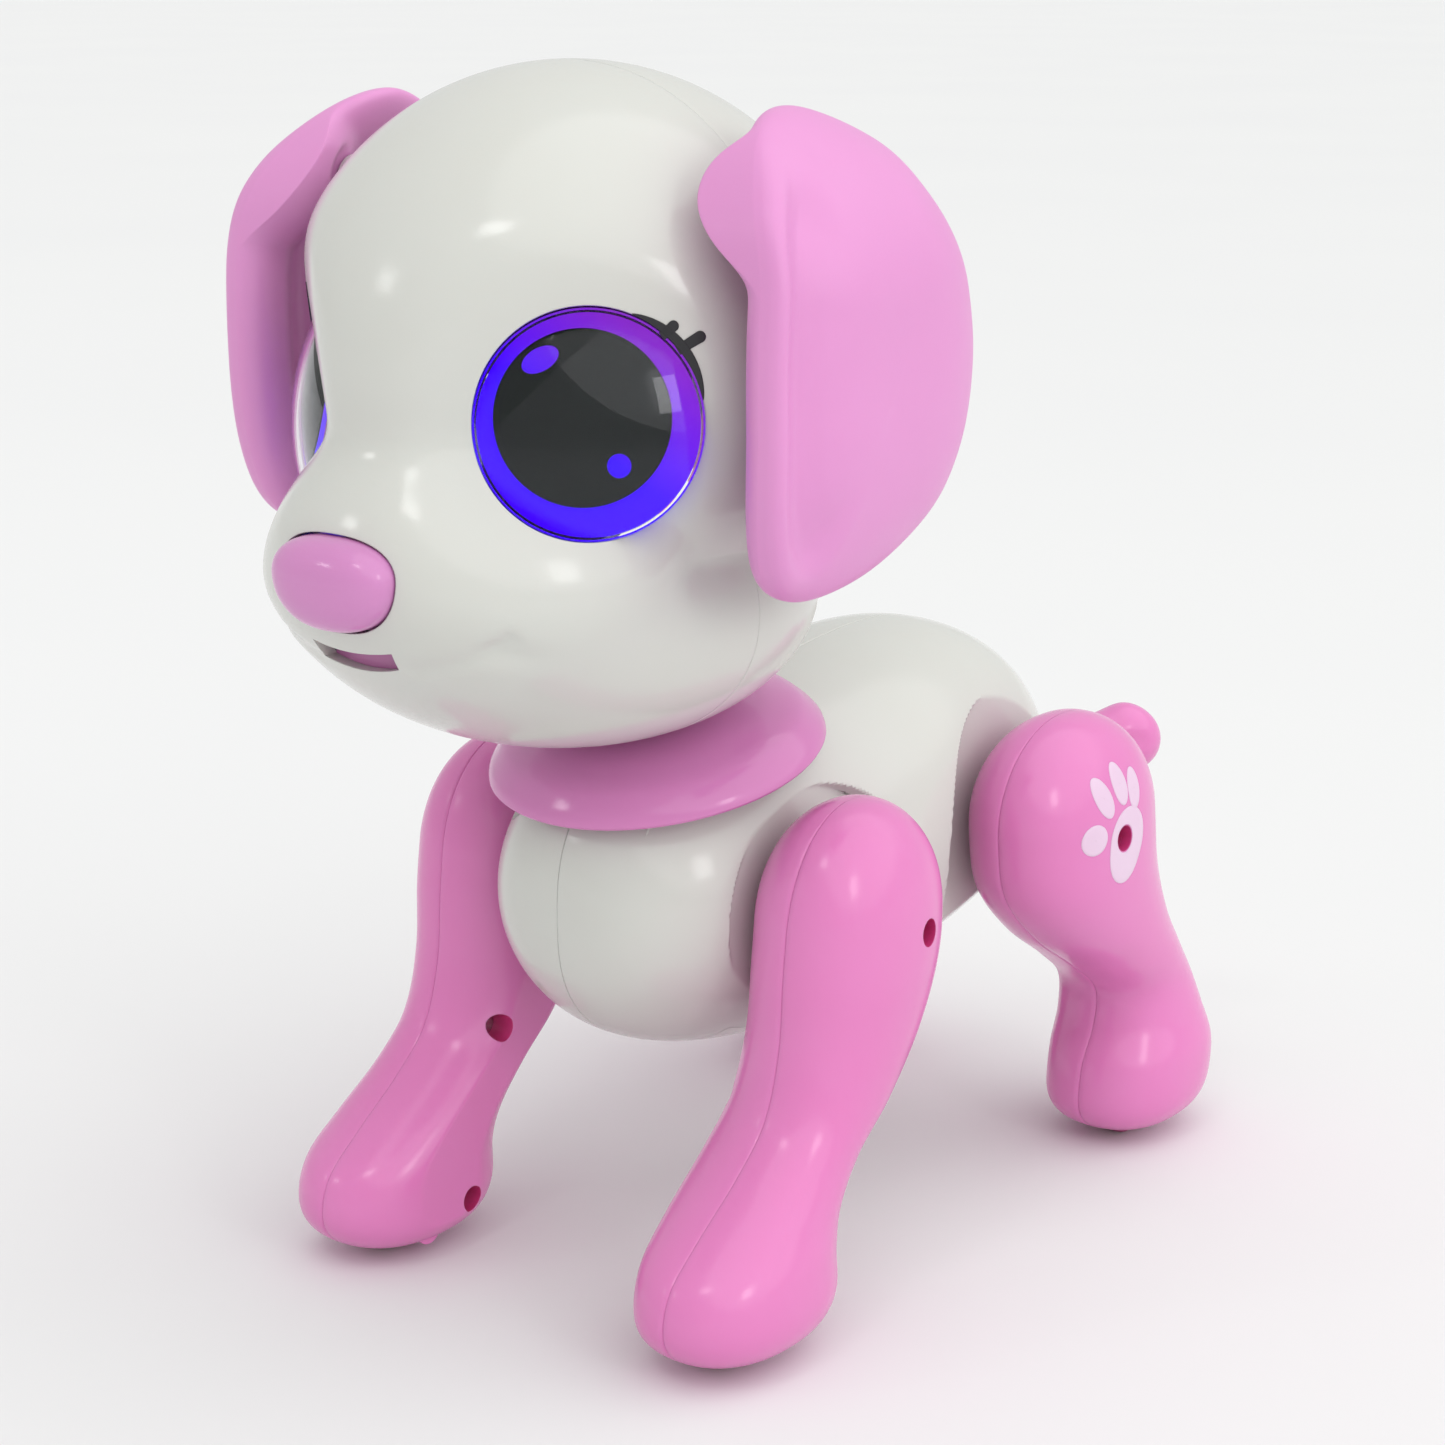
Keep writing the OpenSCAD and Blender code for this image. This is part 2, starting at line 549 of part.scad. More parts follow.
// Each row: distance from the tail's axle, middle height above it, half width, half height.
tail_rows = [
    [6, -0.2, 3.1, 3.4], [12, -1, 3.2, 3.4], [20, -2, 3.8, 3.8], [27, -2.8, 5.2, 4.8],
    [34, -3, 6, 7.2], [42, -3.6, 5.6, 7.4]];
function tail_skin(s, t) = let (
    y = 5 + (tail_tip - 5) * (1 - cos(180 * s)) / 2,
    row = curve(tail_rows, y),
    cap = bulge(max(0, (y - tail_tip + 10) / 10), 2.1) * (s < 0.02 ? 0 : 1))
    [cap * row[2] * cos(360 * t), y, row[1] + cap * row[3] * sin(360 * t)];
module tail() {
    color(pink) translate([0, tail_axis[0], tail_axis[1]]) rotate([0, 0, -tail_rest]) difference() {
        union() {
            closed_skin(function (s, t) tail_skin(s, t), 14, 16);
            bar_z(0, 0, -3.8, 3.8, 3.8);
            block([-2.4, 0, -3], [2.4, 7, 3]);
        }
        bar_z(0, 0, -5, 5, tail_pin_r + fit);
    }
}
module tail_pin() {
    color(steel) bar_z(0, tail_axis[0], tail_slot[0] - 3.4, tail_slot[1] + 3.4, tail_pin_r);
}

// ---- Neck ----------------------------------------------------------------------------------
collar_at = [0, -23.5, 90.3];
collar_tilt = 13;
neck_top = 96.5;
module neck_collar() {
    color(lilac) difference() {
        translate(collar_at) rotate([collar_tilt, 0, 0]) rotate_extrude($fn = 64) polygon([
            [6, 5.8], [14, 5], [20, 3.4], [24.5, 1.2], [27.4, -1.6], [28.6, -1.4], [28.4, -0.2],
            [27.6, 1], [24.8, 3.8], [20.6, 6], [14.4, 7.4], [6, 7.9]]);
        bar_z(0, neck_y, 70, 110, bearing_r);
        // Saddle where the back of the collar sits on the puppy's back.
        bar_y(0, -6, 20, 66.9, 31.1);
    }
}
module neck_bearing() {
    color(cream) difference() {
        bar_z(0, neck_y, 78, neck_top, bearing_r);
        bar_z(0, neck_y, 77, 98, neck_r + fit);
    }
}
neck_bosses = [for (a = [90, 200, 340]) [12.3 * cos(a), neck_y + 12.3 * sin(a)]];
module neck_post() {
    color(cream) {
        bar_z(0, neck_y, 75.9, 77.6, 9);
        bar_z(0, neck_y, 77.6, 97, neck_r);
        bar_z(0, neck_y, 97, 107, 9);
        difference() {
            bar_z(0, neck_y, 107, 109.5, 15.4);
            for (b = neck_bosses) bar_z(b[0], b[1], 106, 111, screw_r);
        }
    }
}

// ---- Head skin -----------------------------------------------------------------------------
head_mid = [0, head_y, head_z];
// Blobs that the head is blended from: middle and half sizes, about the head's middle.
head_blobs = [
    [[0, 0, 8.2], [44.6, 48, 45]],
    [[0, 1, -30.5], [36, 41, 23.5]],
    [[0, -27.1, -19.2], [34, 28.5, 21.5]]];
head_blend = 10;
// The eye sockets: depth, angular size, and the direction they are pressed in from the head's middle.
socket = [6.2, 25.8];
socket_dir = [sin(40) * cos(3), -cos(40) * cos(3), sin(3)];
function blob_reach(blob, d) = let (
    q = [for (k = [0 : 2]) d[k] / blob[1][k]], c = [for (k = [0 : 2]) blob[0][k] / blob[1][k]],
    aa = q * q, bb = q * c, cc = c * c - 1)
    (bb + sqrt(max(0, bb * bb - aa * cc))) / aa;
function head_reach(d) = let (
    a = acos(min(1, max(-1, [abs(d[0]), d[1], d[2]] * socket_dir))))
    pow(pow(blob_reach(head_blobs[0], d), head_blend) + pow(blob_reach(head_blobs[1], d), head_blend)
    + pow(blob_reach(head_blobs[2], d), head_blend), 1 / head_blend) - socket[0] * exp(-pow(a / socket[1], 4));
function head_skin(s, t, front) = let (
    a = 180 * s, v = 180 * t - 90,
    d = front * [cos(a), 0, 0] + [0, -front * sin(a) * cos(v), sin(a) * sin(v)])
    head_mid + head_reach(d) * d;
module head_half(front) {
    half_shell(function (s, t) head_skin(s, 1 - t, front), function (s) head_mid, 28, 16, wall);
}

// ---- Head parts ----------------------------------------------------------------------------
ear_axis = [head_y - 6, head_z + 33];
ear_seat_x = 40.6;
head_screw_at = [[36, 150], [-36, 150], [0, 198.2], [19, 104.4], [-19, 104.4]];
eye_at = [26.9, head_y - 28.6, head_z + 2.8];
nose_at = [0, head_z - 19.8];
mouth_at = [0, head_z - 32.2];
// Moves its children to an eye, with +Z looking out of it.
module at_eye(side) {
    translate([side * eye_at[0], eye_at[1], eye_at[2]])
        rotate([0, 0, side * eye_turn]) rotate([90 - eye_lift, 0, 0]) children();
}
// Nose outline: a rounded triangle, broad at the top. k is the share of full size, add a margin.
function nose_point(t, k, add) = let (a = 360 * t, v = spow(sin(a), 0.9))
    [(k * (11.2 + 1.3 * v) + add) * spow(cos(a), 0.86), (k * 7.1 + add) * v];
nose_n = 28;
mouth_outline = [for (k = [0 : 8]) let (x = -8 + 2 * k) [x, 1.6 + x * x / 80], for (k = [8 : -1 : 0])
    let (x = -8 + 2 * k) [x * 0.94, -1.5 + x * x / 60]];
module mouth_cut(y0, y1, margin) {
    translate([mouth_at[0], y1, mouth_at[1]]) rotate([90, 0, 0]) linear_extrude(y1 - y0) polygon(
        [for (p = mouth_outline) p + margin * unit(p)]);
}

module face_shell() {
    color(white) difference() {
        union() {
            head_half(1);
            for (s = [-1, 1]) bar_x(s * 30, s * ear_seat_x, ear_axis[0], ear_axis[1], 4.4);
            for (p = head_screw_at) bar_y(p[0], head_y - 11, head_y, p[1], 3.4);
            for (s = [-1, 1]) block([s * 36, head_y - 11, 149], [s * 42.6, head_y, 151]);
        }
        for (s = [-1, 1]) {
            at_eye(s) translate([0, 0, -14]) cylinder(r = eye_r, h = 30, $fn = 48);
            bar_x(s * 33, s * 50, ear_axis[0], ear_axis[1], 1.6);
        }
        for (p = head_screw_at) bar_y(p[0], head_y - 10, head_y + 1, p[1], screw_r);
        translate([nose_at[0], head_y - 40, nose_at[1]]) rotate([90, 0, 0]) linear_extrude(30)
            polygon([for (k = [0 : nose_n - 1]) nose_point(k / nose_n, 1, 0.35)]);
        mouth_cut(head_y - 70, head_y - 40, 0);
    }
}
module back_head_shell() {
    color(white) difference() {
        union() {
            head_half(-1);
            for (p = head_screw_at) bar_y(p[0], head_y, head_y + 12, p[1], 3.4);
            for (s = [-1, 1]) block([s * 36, head_y, 149], [s * 42.6, head_y + 11, 151]);
            for (b = neck_bosses) bar_z(b[0], b[1], b[1] > neck_y + 5 ? 104.9 : 99.7, 107, 2.8);
        }
        for (p = head_screw_at) {
            bar_y(p[0], head_y - 1, head_y + 40, p[1], screw_r);
            bar_y(p[0], head_y + 7.5, head_y + 60, p[1], sink_r);
        }
        bar_z(0, neck_y, 90, 106, 9);
        bar_z(0, neck_y, 90, 97.2, bearing_r + 0.4);
        bar_z(0, neck_y, 107, 109.6, 15.5);
        for (b = neck_bosses) bar_z(b[0], b[1], 104.6, 108, screw_r);
    }
}
module head_screws() {
    color(steel) {
        for (p = head_screw_at) {
            bar_y(p[0], head_y + 7.5, head_y + 9, p[1], screw_head_r);
            bar_y(p[0], head_y - 8, head_y + 7.5, p[1], screw_r);
        }
        for (b = neck_bosses) {
            bar_z(b[0], b[1], 109.5, 111, screw_head_r);
            bar_z(b[0], b[1], 105, 109.5, screw_r);
        }
    }
}
lens_rise = 4;
lens_ball = (eye_r * eye_r + lens_rise * lens_rise) / (2 * lens_rise);
module eye_lens(side) {
    color(clear) at_eye(side) difference() {
        union() {
            translate([0, 0, -7]) cylinder(r = eye_r, h = 7.5, $fn = 48);
            intersection() {
                translate([0, 0, 0.5 + lens_rise - lens_ball]) sphere(r = lens_ball, $fn = 48);
                translate([0, 0, 0.4]) cylinder(r = eye_r, h = 10, $fn = 48);
            }
        }
        translate([0, 0, -8]) cylinder(r = eye_r - 1.4, h = 8, $fn = 48);
        intersection() {
            translate([0, 0, lens_rise - 0.9 - lens_ball]) sphere(r = lens_ball, $fn = 48);
            translate([0, 0, -0.2]) cylinder(r = eye_r - 1.4, h = 10, $fn = 48);
        }
    }
}
module eye_lens_left() { eye_lens(1); }
module eye_lens_right() { eye_lens(-1); }
module iris(side) {
    color(violet) at_eye(side) difference() {
        translate([0, 0, -3]) cylinder(r = eye_r - 1.4, h = 1, $fn = 48);
        translate([0, 0, -4]) cylinder(r = 1, h = 3, $fn = 24);
    }
}
module iris_left() { iris(1); }
module iris_right() { iris(-1); }
module eye_lamps() {
    for (s = [-1, 1]) at_eye(s) {
        color(dark) translate([0, 0, -7]) cylinder(r = eye_r - 1.4, h = 1.2, $fn = 48);
        color(clear) translate([0, 0, -5.8]) cylinder(r = 2.5, h = 2.2, $fn = 24);
    }
}
module mouth_insert() {
    color(lilac) {
        mouth_cut(head_y - 47, head_y - 41, 0);
        mouth_cut(head_y - 41, head_y - 39.5, 1.6);
    }
}
// Nose button: each row is its share of the outline and how far it stands in front of the head's middle.
nose_rows = [[0, 60.2], [0.34, 60], [0.6, 59.3], [0.8, 58.2], [0.93, 56.7], [1, 54.8], [1, 47.6], [1.17, 47.4],
    [1.17, 46.2], [0, 46.2]];
module nose_button() {
    color(lilac) translate([nose_at[0], head_y, nose_at[1]])
        closed_skin(function (s, t) let (
            q = nose_rows[round(s * (len(nose_rows) - 1))], p = nose_point(t, q[0], 0))
            [p[0], -q[1], p[1]], len(nose_rows) - 1, nose_n);
}
module nose_contact() {
    color(green) block([-16, head_y - 42.6, head_z - 30], [16, head_y - 41.4, head_z - 14]);
    color(dark) block([-3, head_y - 44.7, nose_at[1] - 3], [3, head_y - 42.6, nose_at[1] + 3]);
}
module ear_pins() {
    color(steel) for (s = [-1, 1]) bar_x(s * 33, s * 46, ear_axis[0], ear_axis[1], 1.6);
}

// ---- Ears ----------------------------------------------------------------------------------
ear_mid = [head_y + 6, head_z + 12];
// Outline points, along Y and Z from the head's middle.
ear_outline = [
    [2, 47.5], [16, 42.5], [22.5, 35], [27.5, 25], [30.5, 13], [30.2, 3], [27.5, -7], [22, -15], [11, -21.3],
    [0, -24], [-10, -23.7], [-17.5, -19.5], [-21, -10], [-22, 6], [-21.5, 22], [-19, 34], [-10, 44]];
function ear_edge(t) = let (n = len(ear_outline), k = t * n, i = floor(k), f = k - i,
    p = [for (j = [-1 : 2]) ear_outline[(i + j + n) % n]])
    0.5 * (2 * p[1] + (p[2] - p[0]) * f + (2 * p[0] - 5 * p[1] + 4 * p[2] - p[3]) * f * f
    + (3 * p[1] - p[0] - 3 * p[2] + p[3]) * f * f * f);
// Middle surface: leans in over the head at the top, and a little at the bottom.
function ear_lean(z) = let (h = z - head_z)
    52.6 - 0.0165 * pow(max(0, h - 20), 2) - 0.004 * pow(max(0, 5 - h), 2);
function ear_skin(s, t) = let (
    a = 90 - 180 * s,
    edge = ear_edge(t) + [head_y, head_z],
    c = pow(max(0, cos(a)), 0.75),
    y = ear_mid[0] + (edge[0] - ear_mid[0]) * c,
    z = ear_mid[1] + (edge[1] - ear_mid[1]) * c)
    [ear_lean(z) + (a > 0 ? 6.6 * pow(sin(a), 0.9)
        : 7.2 * smooth(45, 76, -a) - 4.4 * sin(min(90, -2.2 * a))), y, z];
module ear(side) {
    color(pink) difference() {
        union() {
            closed_skin(side > 0 ? function (s, t) ear_skin(s, (1 - t) % 1)
                : function (s, t) flip(ear_skin(s, t % 1)), 14, 28);
            bar_x(side * (ear_seat_x + 0.4), side * 50, ear_axis[0], ear_axis[1], 6.5);
        }
        bar_x(side * 30, side * 46.4, ear_axis[0], ear_axis[1], 1.6 + fit);
    }
}
module ear_left() { ear(1); }
module ear_right() { ear(-1); }

body_shell_left();
body_shell_right();
battery_door();
body_screws();
battery_cells();
battery_tray();
battery_contacts();
speaker();
main_board();
drive_motor();
gear_plate_left();
gear_plate_right();
gear_pins();
hip_bushes();
neck_collar();
neck_bearing();
tail_pin();
switch_knob();
motor_pinion();
first_gear();
second_gear();
crank_axle();
crank_gear();
crank_discs();
front_left_outer_shell();
front_left_inner_shell();
front_left_rocker();
front_left_screws();
front_left_roller();
front_right_outer_shell();
front_right_inner_shell();
front_right_rocker();
front_right_screws();
front_right_roller();
rear_left_outer_shell();
rear_left_inner_shell();
rear_left_rocker();
rear_left_screws();
rear_left_roller();
rear_right_outer_shell();
rear_right_inner_shell();
rear_right_rocker();
rear_right_screws();
rear_right_roller();
tail();
face_shell();
back_head_shell();
neck_post();
eye_lens_left();
eye_lens_right();
iris_left();
iris_right();
eye_lamps();
mouth_insert();
nose_button();
nose_contact();
ear_pins();
head_screws();
ear_left();
ear_right();
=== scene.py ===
"""Looks of the walking robot puppy: smooth moulded shells, lit eyes, studio floor and camera.

Lengths are in millimetres until a mesh is made, which turns them into metres. Every shape is in
the CAD frame: +Z up, the nose towards -Y, +X the puppy's left.
"""
import json
import math

import bmesh
import bpy
import numpy as np
from mathutils import Matrix, Vector


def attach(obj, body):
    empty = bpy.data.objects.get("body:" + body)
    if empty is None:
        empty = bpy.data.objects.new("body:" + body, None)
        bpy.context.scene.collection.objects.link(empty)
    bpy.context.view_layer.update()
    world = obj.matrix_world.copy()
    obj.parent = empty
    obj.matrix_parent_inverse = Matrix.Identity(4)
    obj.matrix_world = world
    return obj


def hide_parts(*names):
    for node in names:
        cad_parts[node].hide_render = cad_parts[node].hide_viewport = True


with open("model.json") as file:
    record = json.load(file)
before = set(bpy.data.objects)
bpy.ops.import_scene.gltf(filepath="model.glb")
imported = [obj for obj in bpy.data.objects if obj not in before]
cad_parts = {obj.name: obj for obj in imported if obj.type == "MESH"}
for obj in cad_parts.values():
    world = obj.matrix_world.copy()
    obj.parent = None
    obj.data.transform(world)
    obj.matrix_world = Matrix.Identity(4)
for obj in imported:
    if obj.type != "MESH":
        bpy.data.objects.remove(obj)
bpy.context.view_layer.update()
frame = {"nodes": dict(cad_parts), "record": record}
NODES = frame["nodes"]
MM = 0.001
# Both sides of the toy: the name, and the sign of X.
SIDES = (("left", 1), ("right", -1))


# ---- Camera, light and floor ----
# The camera's direction in degrees and place in metres, fitted to the photograph.
CAMERA_AZIMUTH, CAMERA_ELEVATION = 37.5, 14.7
CAMERA_AT = (0.311, -0.4105, 0.224)
CAMERA_LENS, CAMERA_SENSOR = 76.39, 36
CAMERA_CLIP = (0.01, 100)

# Soft boxes: name, place in metres, size in metres, watts. They all point at LIT_POINT.
LIT_POINT = (0, -0.01, 0.11)
SOFTBOXES = (
    ("key_light", (0.15, -1.05, 1.45), (0.34, 0.2), 1.2),
    ("left_light", (-0.75, -1.0, 0.75), (0.2, 0.14), 0.45),
    ("right_light", (1.5, -0.35, 0.75), (0.3, 0.45), 1.9))
SKY_ENERGY, SKY_ANGLE, SKY_WAY = 1.5, 100, (-0.58, -0.05, -0.8)
WORLD_COLOUR, WORLD_STRENGTH = (0.99, 1.0, 0.99, 1), 0.73
# The floor's half side, and its drop below the wheels, in metres.
FLOOR_HALF, FLOOR_DROP = 20, 0.0001


def aimed(name, data, way):
    """An object for a camera or lamp that looks along way."""
    obj = bpy.data.objects.new(name, data)
    bpy.context.scene.collection.objects.link(obj)
    obj.rotation_mode = "QUATERNION"
    obj.rotation_quaternion = Vector(way).to_track_quat("-Z", "Y")
    return obj


def make_camera():
    azimuth, elevation = math.radians(CAMERA_AZIMUTH), math.radians(CAMERA_ELEVATION)
    look = (-math.sin(azimuth) * math.cos(elevation), math.cos(azimuth) * math.cos(elevation),
            -math.sin(elevation))
    data = bpy.data.cameras.new("camera")
    data.sensor_width = CAMERA_SENSOR
    data.lens = CAMERA_LENS
    data.clip_start, data.clip_end = CAMERA_CLIP
    camera = aimed("camera", data, look)
    camera.location = CAMERA_AT
    bpy.context.scene.camera = camera


def make_studio():
    for name, place, size, power in SOFTBOXES:
        data = bpy.data.lights.new(name, "AREA")
        data.shape = "RECTANGLE"
        data.size, data.size_y = size
        data.energy = power
        aimed(name, data, Vector(LIT_POINT) - Vector(place)).location = place
    sky = bpy.data.lights.new("sky_light", "SUN")
    sky.energy = SKY_ENERGY
    sky.angle = math.radians(SKY_ANGLE)
    aimed("sky_light", sky, SKY_WAY)
    world = bpy.data.worlds.new("studio")
    bpy.context.scene.world = world
    world.use_nodes = True
    background = world.node_tree.nodes["Background"]
    background.inputs["Color"].default_value = WORLD_COLOUR
    background.inputs["Strength"].default_value = WORLD_STRENGTH
    bpy.context.scene.view_settings.view_transform = "Standard"
    mesh = bpy.data.meshes.new("floor")
    corners = [(x * FLOOR_HALF, y * FLOOR_HALF, 0) for x, y in ((-1, -1), (1, -1), (1, 1), (-1, 1))]
    mesh.from_pydata(corners, [], [(0, 1, 2, 3)])
    floor = bpy.data.objects.new("floor", mesh)
    bpy.context.scene.collection.objects.link(floor)
    floor.location.z = -FLOOR_DROP
    mesh.materials.append(floor_material())


# ---- Materials ----
# Sockets of a colour Mix node by number, since their names repeat.
MIX_FACTOR, MIX_A, MIX_B, MIX_RESULT = 0, 6, 7, 2
# Plastic: the second tone and its share, noise scales, and roughness taken and added by smudges.
TONE_SHIFT, TONE_SHARE = 0.895, 0.35
FLOW_SCALE, SMUDGE_SCALE = 38, 120
ROUGH_LESS, ROUGH_MORE, ROUGH_LEAST = 0.04, 0.05, 0.02
PLASTIC_IOR = 1.5
SCATTER_RADIUS, SCATTER_SCALE = (1.0, 0.75, 0.7), 0.0025
# Rounding of hard edges by shading, in millimetres, and the depth of the bump in metres.
SOFT_EDGE, BUMP_DEPTH = 0.25, 0.00006
FLOOR_TONES = ((0.80, 0.80, 0.80), (0.79, 0.79, 0.793))
# The lit ring: its glow low and high, where the change runs, in metres, and its direction.
GLOW_BLUE, GLOW_MAGENTA = (0.045, 0.0, 1.0), (0.26, 0.028, 0.55)
GLOW_RUN, GLOW_ACROSS, GLOW_UP = (-0.002, 0.015), 0.62, 0.78


def new_material(name):
    material = bpy.data.materials.new(name)
    material.use_nodes = True
    tree = material.node_tree
    tree.nodes.clear()
    out = tree.nodes.new("ShaderNodeOutputMaterial")
    shader = tree.nodes.new("ShaderNodeBsdfPrincipled")
    tree.links.new(shader.outputs["BSDF"], out.inputs["Surface"])
    return material, tree, shader


def node(tree, kind, values=None, **links):
    """A new node with these values and links; an underscore in a link's name stands for a space."""
    made = tree.nodes.new(kind)
    for key, value in (values or {}).items():
        if key in made.inputs:
            made.inputs[key].default_value = value
        else:
            setattr(made, key, value)
    for key, socket in links.items():
        tree.links.new(socket, made.inputs[key.replace("_", " ")])
    return made


def set_inputs(shader, **values):
    for key, value in values.items():
        shader.inputs[key.replace("_", " ")].default_value = value


def noise(tree, scale, detail=3.0):
    place = node(tree, "ShaderNodeTexCoord")
    made = node(tree, "ShaderNodeTexNoise", {"Scale": scale, "Detail": detail},
                Vector=place.outputs["Object"])
    return made.outputs["Fac"]


def spread(tree, socket, low, high, start=0.3, end=0.7):
    """A value that runs from start to end, stretched to run from low to high."""
    made = node(tree, "ShaderNodeMapRange", {
        "From Min": start, "From Max": end, "To Min": low, "To Max": high}, Value=socket)
    return made.outputs["Result"]


def mixed(tree, fac, a, b):
    made = node(tree, "ShaderNodeMix", {"data_type": "RGBA"})
    tree.links.new(fac, made.inputs[MIX_FACTOR])
    made.inputs[MIX_A].default_value = (*a, 1)
    made.inputs[MIX_B].default_value = (*b, 1)
    return made.outputs[MIX_RESULT]


def plastic(name, colour, rough=0.2, bump=0.12, grain=1400, soften=0.12, metal=0.0, tint=None,
            gloss=0.5):
    """Moulded plastic: faint flow marks in the colour, fine surface waviness and soft edges."""
    material, tree, shader = new_material(name)
    base = np.array(colour)
    other = np.array(tint) if tint is not None else base * TONE_SHIFT
    tone = mixed(tree, spread(tree, noise(tree, FLOW_SCALE, 4), 0, 1),
                 tuple(base), tuple(other * TONE_SHARE + base * (1 - TONE_SHARE)))
    tree.links.new(tone, shader.inputs["Base Color"])
    smudge = spread(tree, noise(tree, SMUDGE_SCALE, 5),
                    max(ROUGH_LEAST, rough - ROUGH_LESS), rough + ROUGH_MORE)
    tree.links.new(smudge, shader.inputs["Roughness"])
    set_inputs(shader, Metallic=metal, IOR=PLASTIC_IOR, Specular_IOR_Level=gloss)
    if soften:
        set_inputs(shader, Subsurface_Weight=soften, Subsurface_Radius=SCATTER_RADIUS,
                   Subsurface_Scale=SCATTER_SCALE)
    soft_edge = node(tree, "ShaderNodeBevel", {"samples": 4, "Radius": SOFT_EDGE * MM})
    bumped = node(tree, "ShaderNodeBump", {"Strength": bump, "Distance": BUMP_DEPTH},
                  Height=noise(tree, grain, 2), Normal=soft_edge.outputs["Normal"])
    tree.links.new(bumped.outputs["Normal"], shader.inputs["Normal"])
    return material


def floor_material():
    material, tree, shader = new_material("studio_floor")
    tone = mixed(tree, spread(tree, noise(tree, 3, 2), 0, 1), *FLOOR_TONES)
    tree.links.new(tone, shader.inputs["Base Color"])
    set_inputs(shader, Roughness=0.9, Specular_IOR_Level=0.1)
    return material


def lens_material():
    material, tree, shader = new_material("clear_lens_plastic")
    set_inputs(shader, Base_Color=(0.97, 0.97, 1.0, 1), Transmission_Weight=1.0, IOR=1.25)
    tree.links.new(spread(tree, noise(tree, 300), 0.0, 0.02), shader.inputs["Roughness"])
    return material


def iris_material(name, side):
    """Lit ring behind the lens: blue violet, turning magenta towards the top outer side."""
    material, tree, shader = new_material(name)
    centre, across, up, _ = eye_frame(side)
    place = node(tree, "ShaderNodeTexCoord")
    shifted = node(tree, "ShaderNodeVectorMath", {"operation": "SUBTRACT"})
    tree.links.new(place.outputs["Object"], shifted.inputs[0])
    shifted.inputs[1].default_value = Vector(centre * MM)
    along = node(tree, "ShaderNodeVectorMath", {"operation": "DOT_PRODUCT"})
    tree.links.new(shifted.outputs["Vector"], along.inputs[0])
    along.inputs[1].default_value = Vector(GLOW_ACROSS * across + GLOW_UP * up)
    share = spread(tree, along.outputs["Value"], 0, 1, *GLOW_RUN)
    glow = mixed(tree, share, GLOW_BLUE, GLOW_MAGENTA)
    lit = node(tree, "ShaderNodeMix", {"data_type": "RGBA", "blend_type": "MULTIPLY"})
    tree.links.new(spread(tree, noise(tree, 420, 2), 0.0, 0.35), lit.inputs[MIX_FACTOR])
    tree.links.new(glow, lit.inputs[MIX_A])
    lit.inputs[MIX_B].default_value = (0.8, 0.8, 0.95, 1)
    tree.links.new(lit.outputs[MIX_RESULT], shader.inputs["Emission Color"])
    set_inputs(shader, Base_Color=(0.03, 0.0, 0.2, 1), Emission_Strength=1.0,
               Specular_IOR_Level=0.05, Roughness=0.35)
    return material


# ---- Shape helpers (the same rules as the CAD model's skins) ----
def smooth(a, b, x):
    t = np.clip((x - a) / (b - a), 0, 1)
    return t * t * (3 - 2 * t)


def soft_min(a, b, reach):
    """The smaller of a and b, rounded over where they are within reach of each other."""
    reach = np.maximum(reach, 1e-6)
    h = np.maximum(0, reach - np.abs(a - b)) / reach
    return np.minimum(a, b) - h * h * reach / 4


def bulge(s, p):
    """Superellipse: 1 at s = 0, falling to 0 at s = 1 or -1; a higher p is squarer."""
    return np.maximum(0, 1 - np.minimum(1, np.abs(s)) ** p) ** (1 / p)


def spow(v, e):
    """A power that keeps the sign of v."""
    return np.sign(v) * np.abs(v) ** e


def curve(rows, x):
    """Smooth curve through rows of numbers; the first number of each row is the parameter."""
    rows = np.array(rows, float)
    n = len(rows)
    slope = np.array([
        (rows[min(n - 1, i + 1)] - rows[max(0, i - 1)])
        / (rows[min(n - 1, i + 1)][0] - rows[max(0, i - 1)][0]) for i in range(n)])
    u = np.clip(x, rows[0, 0], rows[-1, 0])
    i = np.clip(np.searchsorted(rows[:, 0], u, "right") - 1, 0, n - 2)
    h = rows[i + 1, 0] - rows[i, 0]
    t = ((u - rows[i, 0]) / h)[..., None]
    h = h[..., None]
    return ((2 * t**3 - 3 * t**2 + 1) * rows[i] + (t**3 - 2 * t**2 + t) * h * slope[i]
            + (-2 * t**3 + 3 * t**2) * rows[i + 1] + (t**3 - t**2) * h * slope[i + 1])


def stack(*parts):
    return np.stack(np.broadcast_arrays(*parts), -1)


def sin_d(a):
    return np.sin(np.radians(a))


def cos_d(a):
    return np.cos(np.radians(a))


# ---- Mesh helpers ----
def new_object(name, points, faces):
    mesh = bpy.data.meshes.new(name)
    mesh.from_pydata((np.asarray(points, float) * MM).tolist(), [], faces)
    made = bmesh.new()
    made.from_mesh(mesh)
    bmesh.ops.recalc_face_normals(made, faces=made.faces)
    made.to_mesh(mesh)
    made.free()
    obj = bpy.data.objects.new(name, mesh)
    bpy.context.scene.collection.objects.link(obj)
    return obj


def quads(rows, cols, start=0, closed=False):
    """Faces of a grid of points that is rows by cols; closed joins the last column to the first."""
    spans = cols if closed else cols - 1
    return [(start + i * cols + j, start + i * cols + (j + 1) % cols,
             start + (i + 1) * cols + (j + 1) % cols, start + (i + 1) * cols + j)
            for i in range(rows - 1) for j in range(spans)]


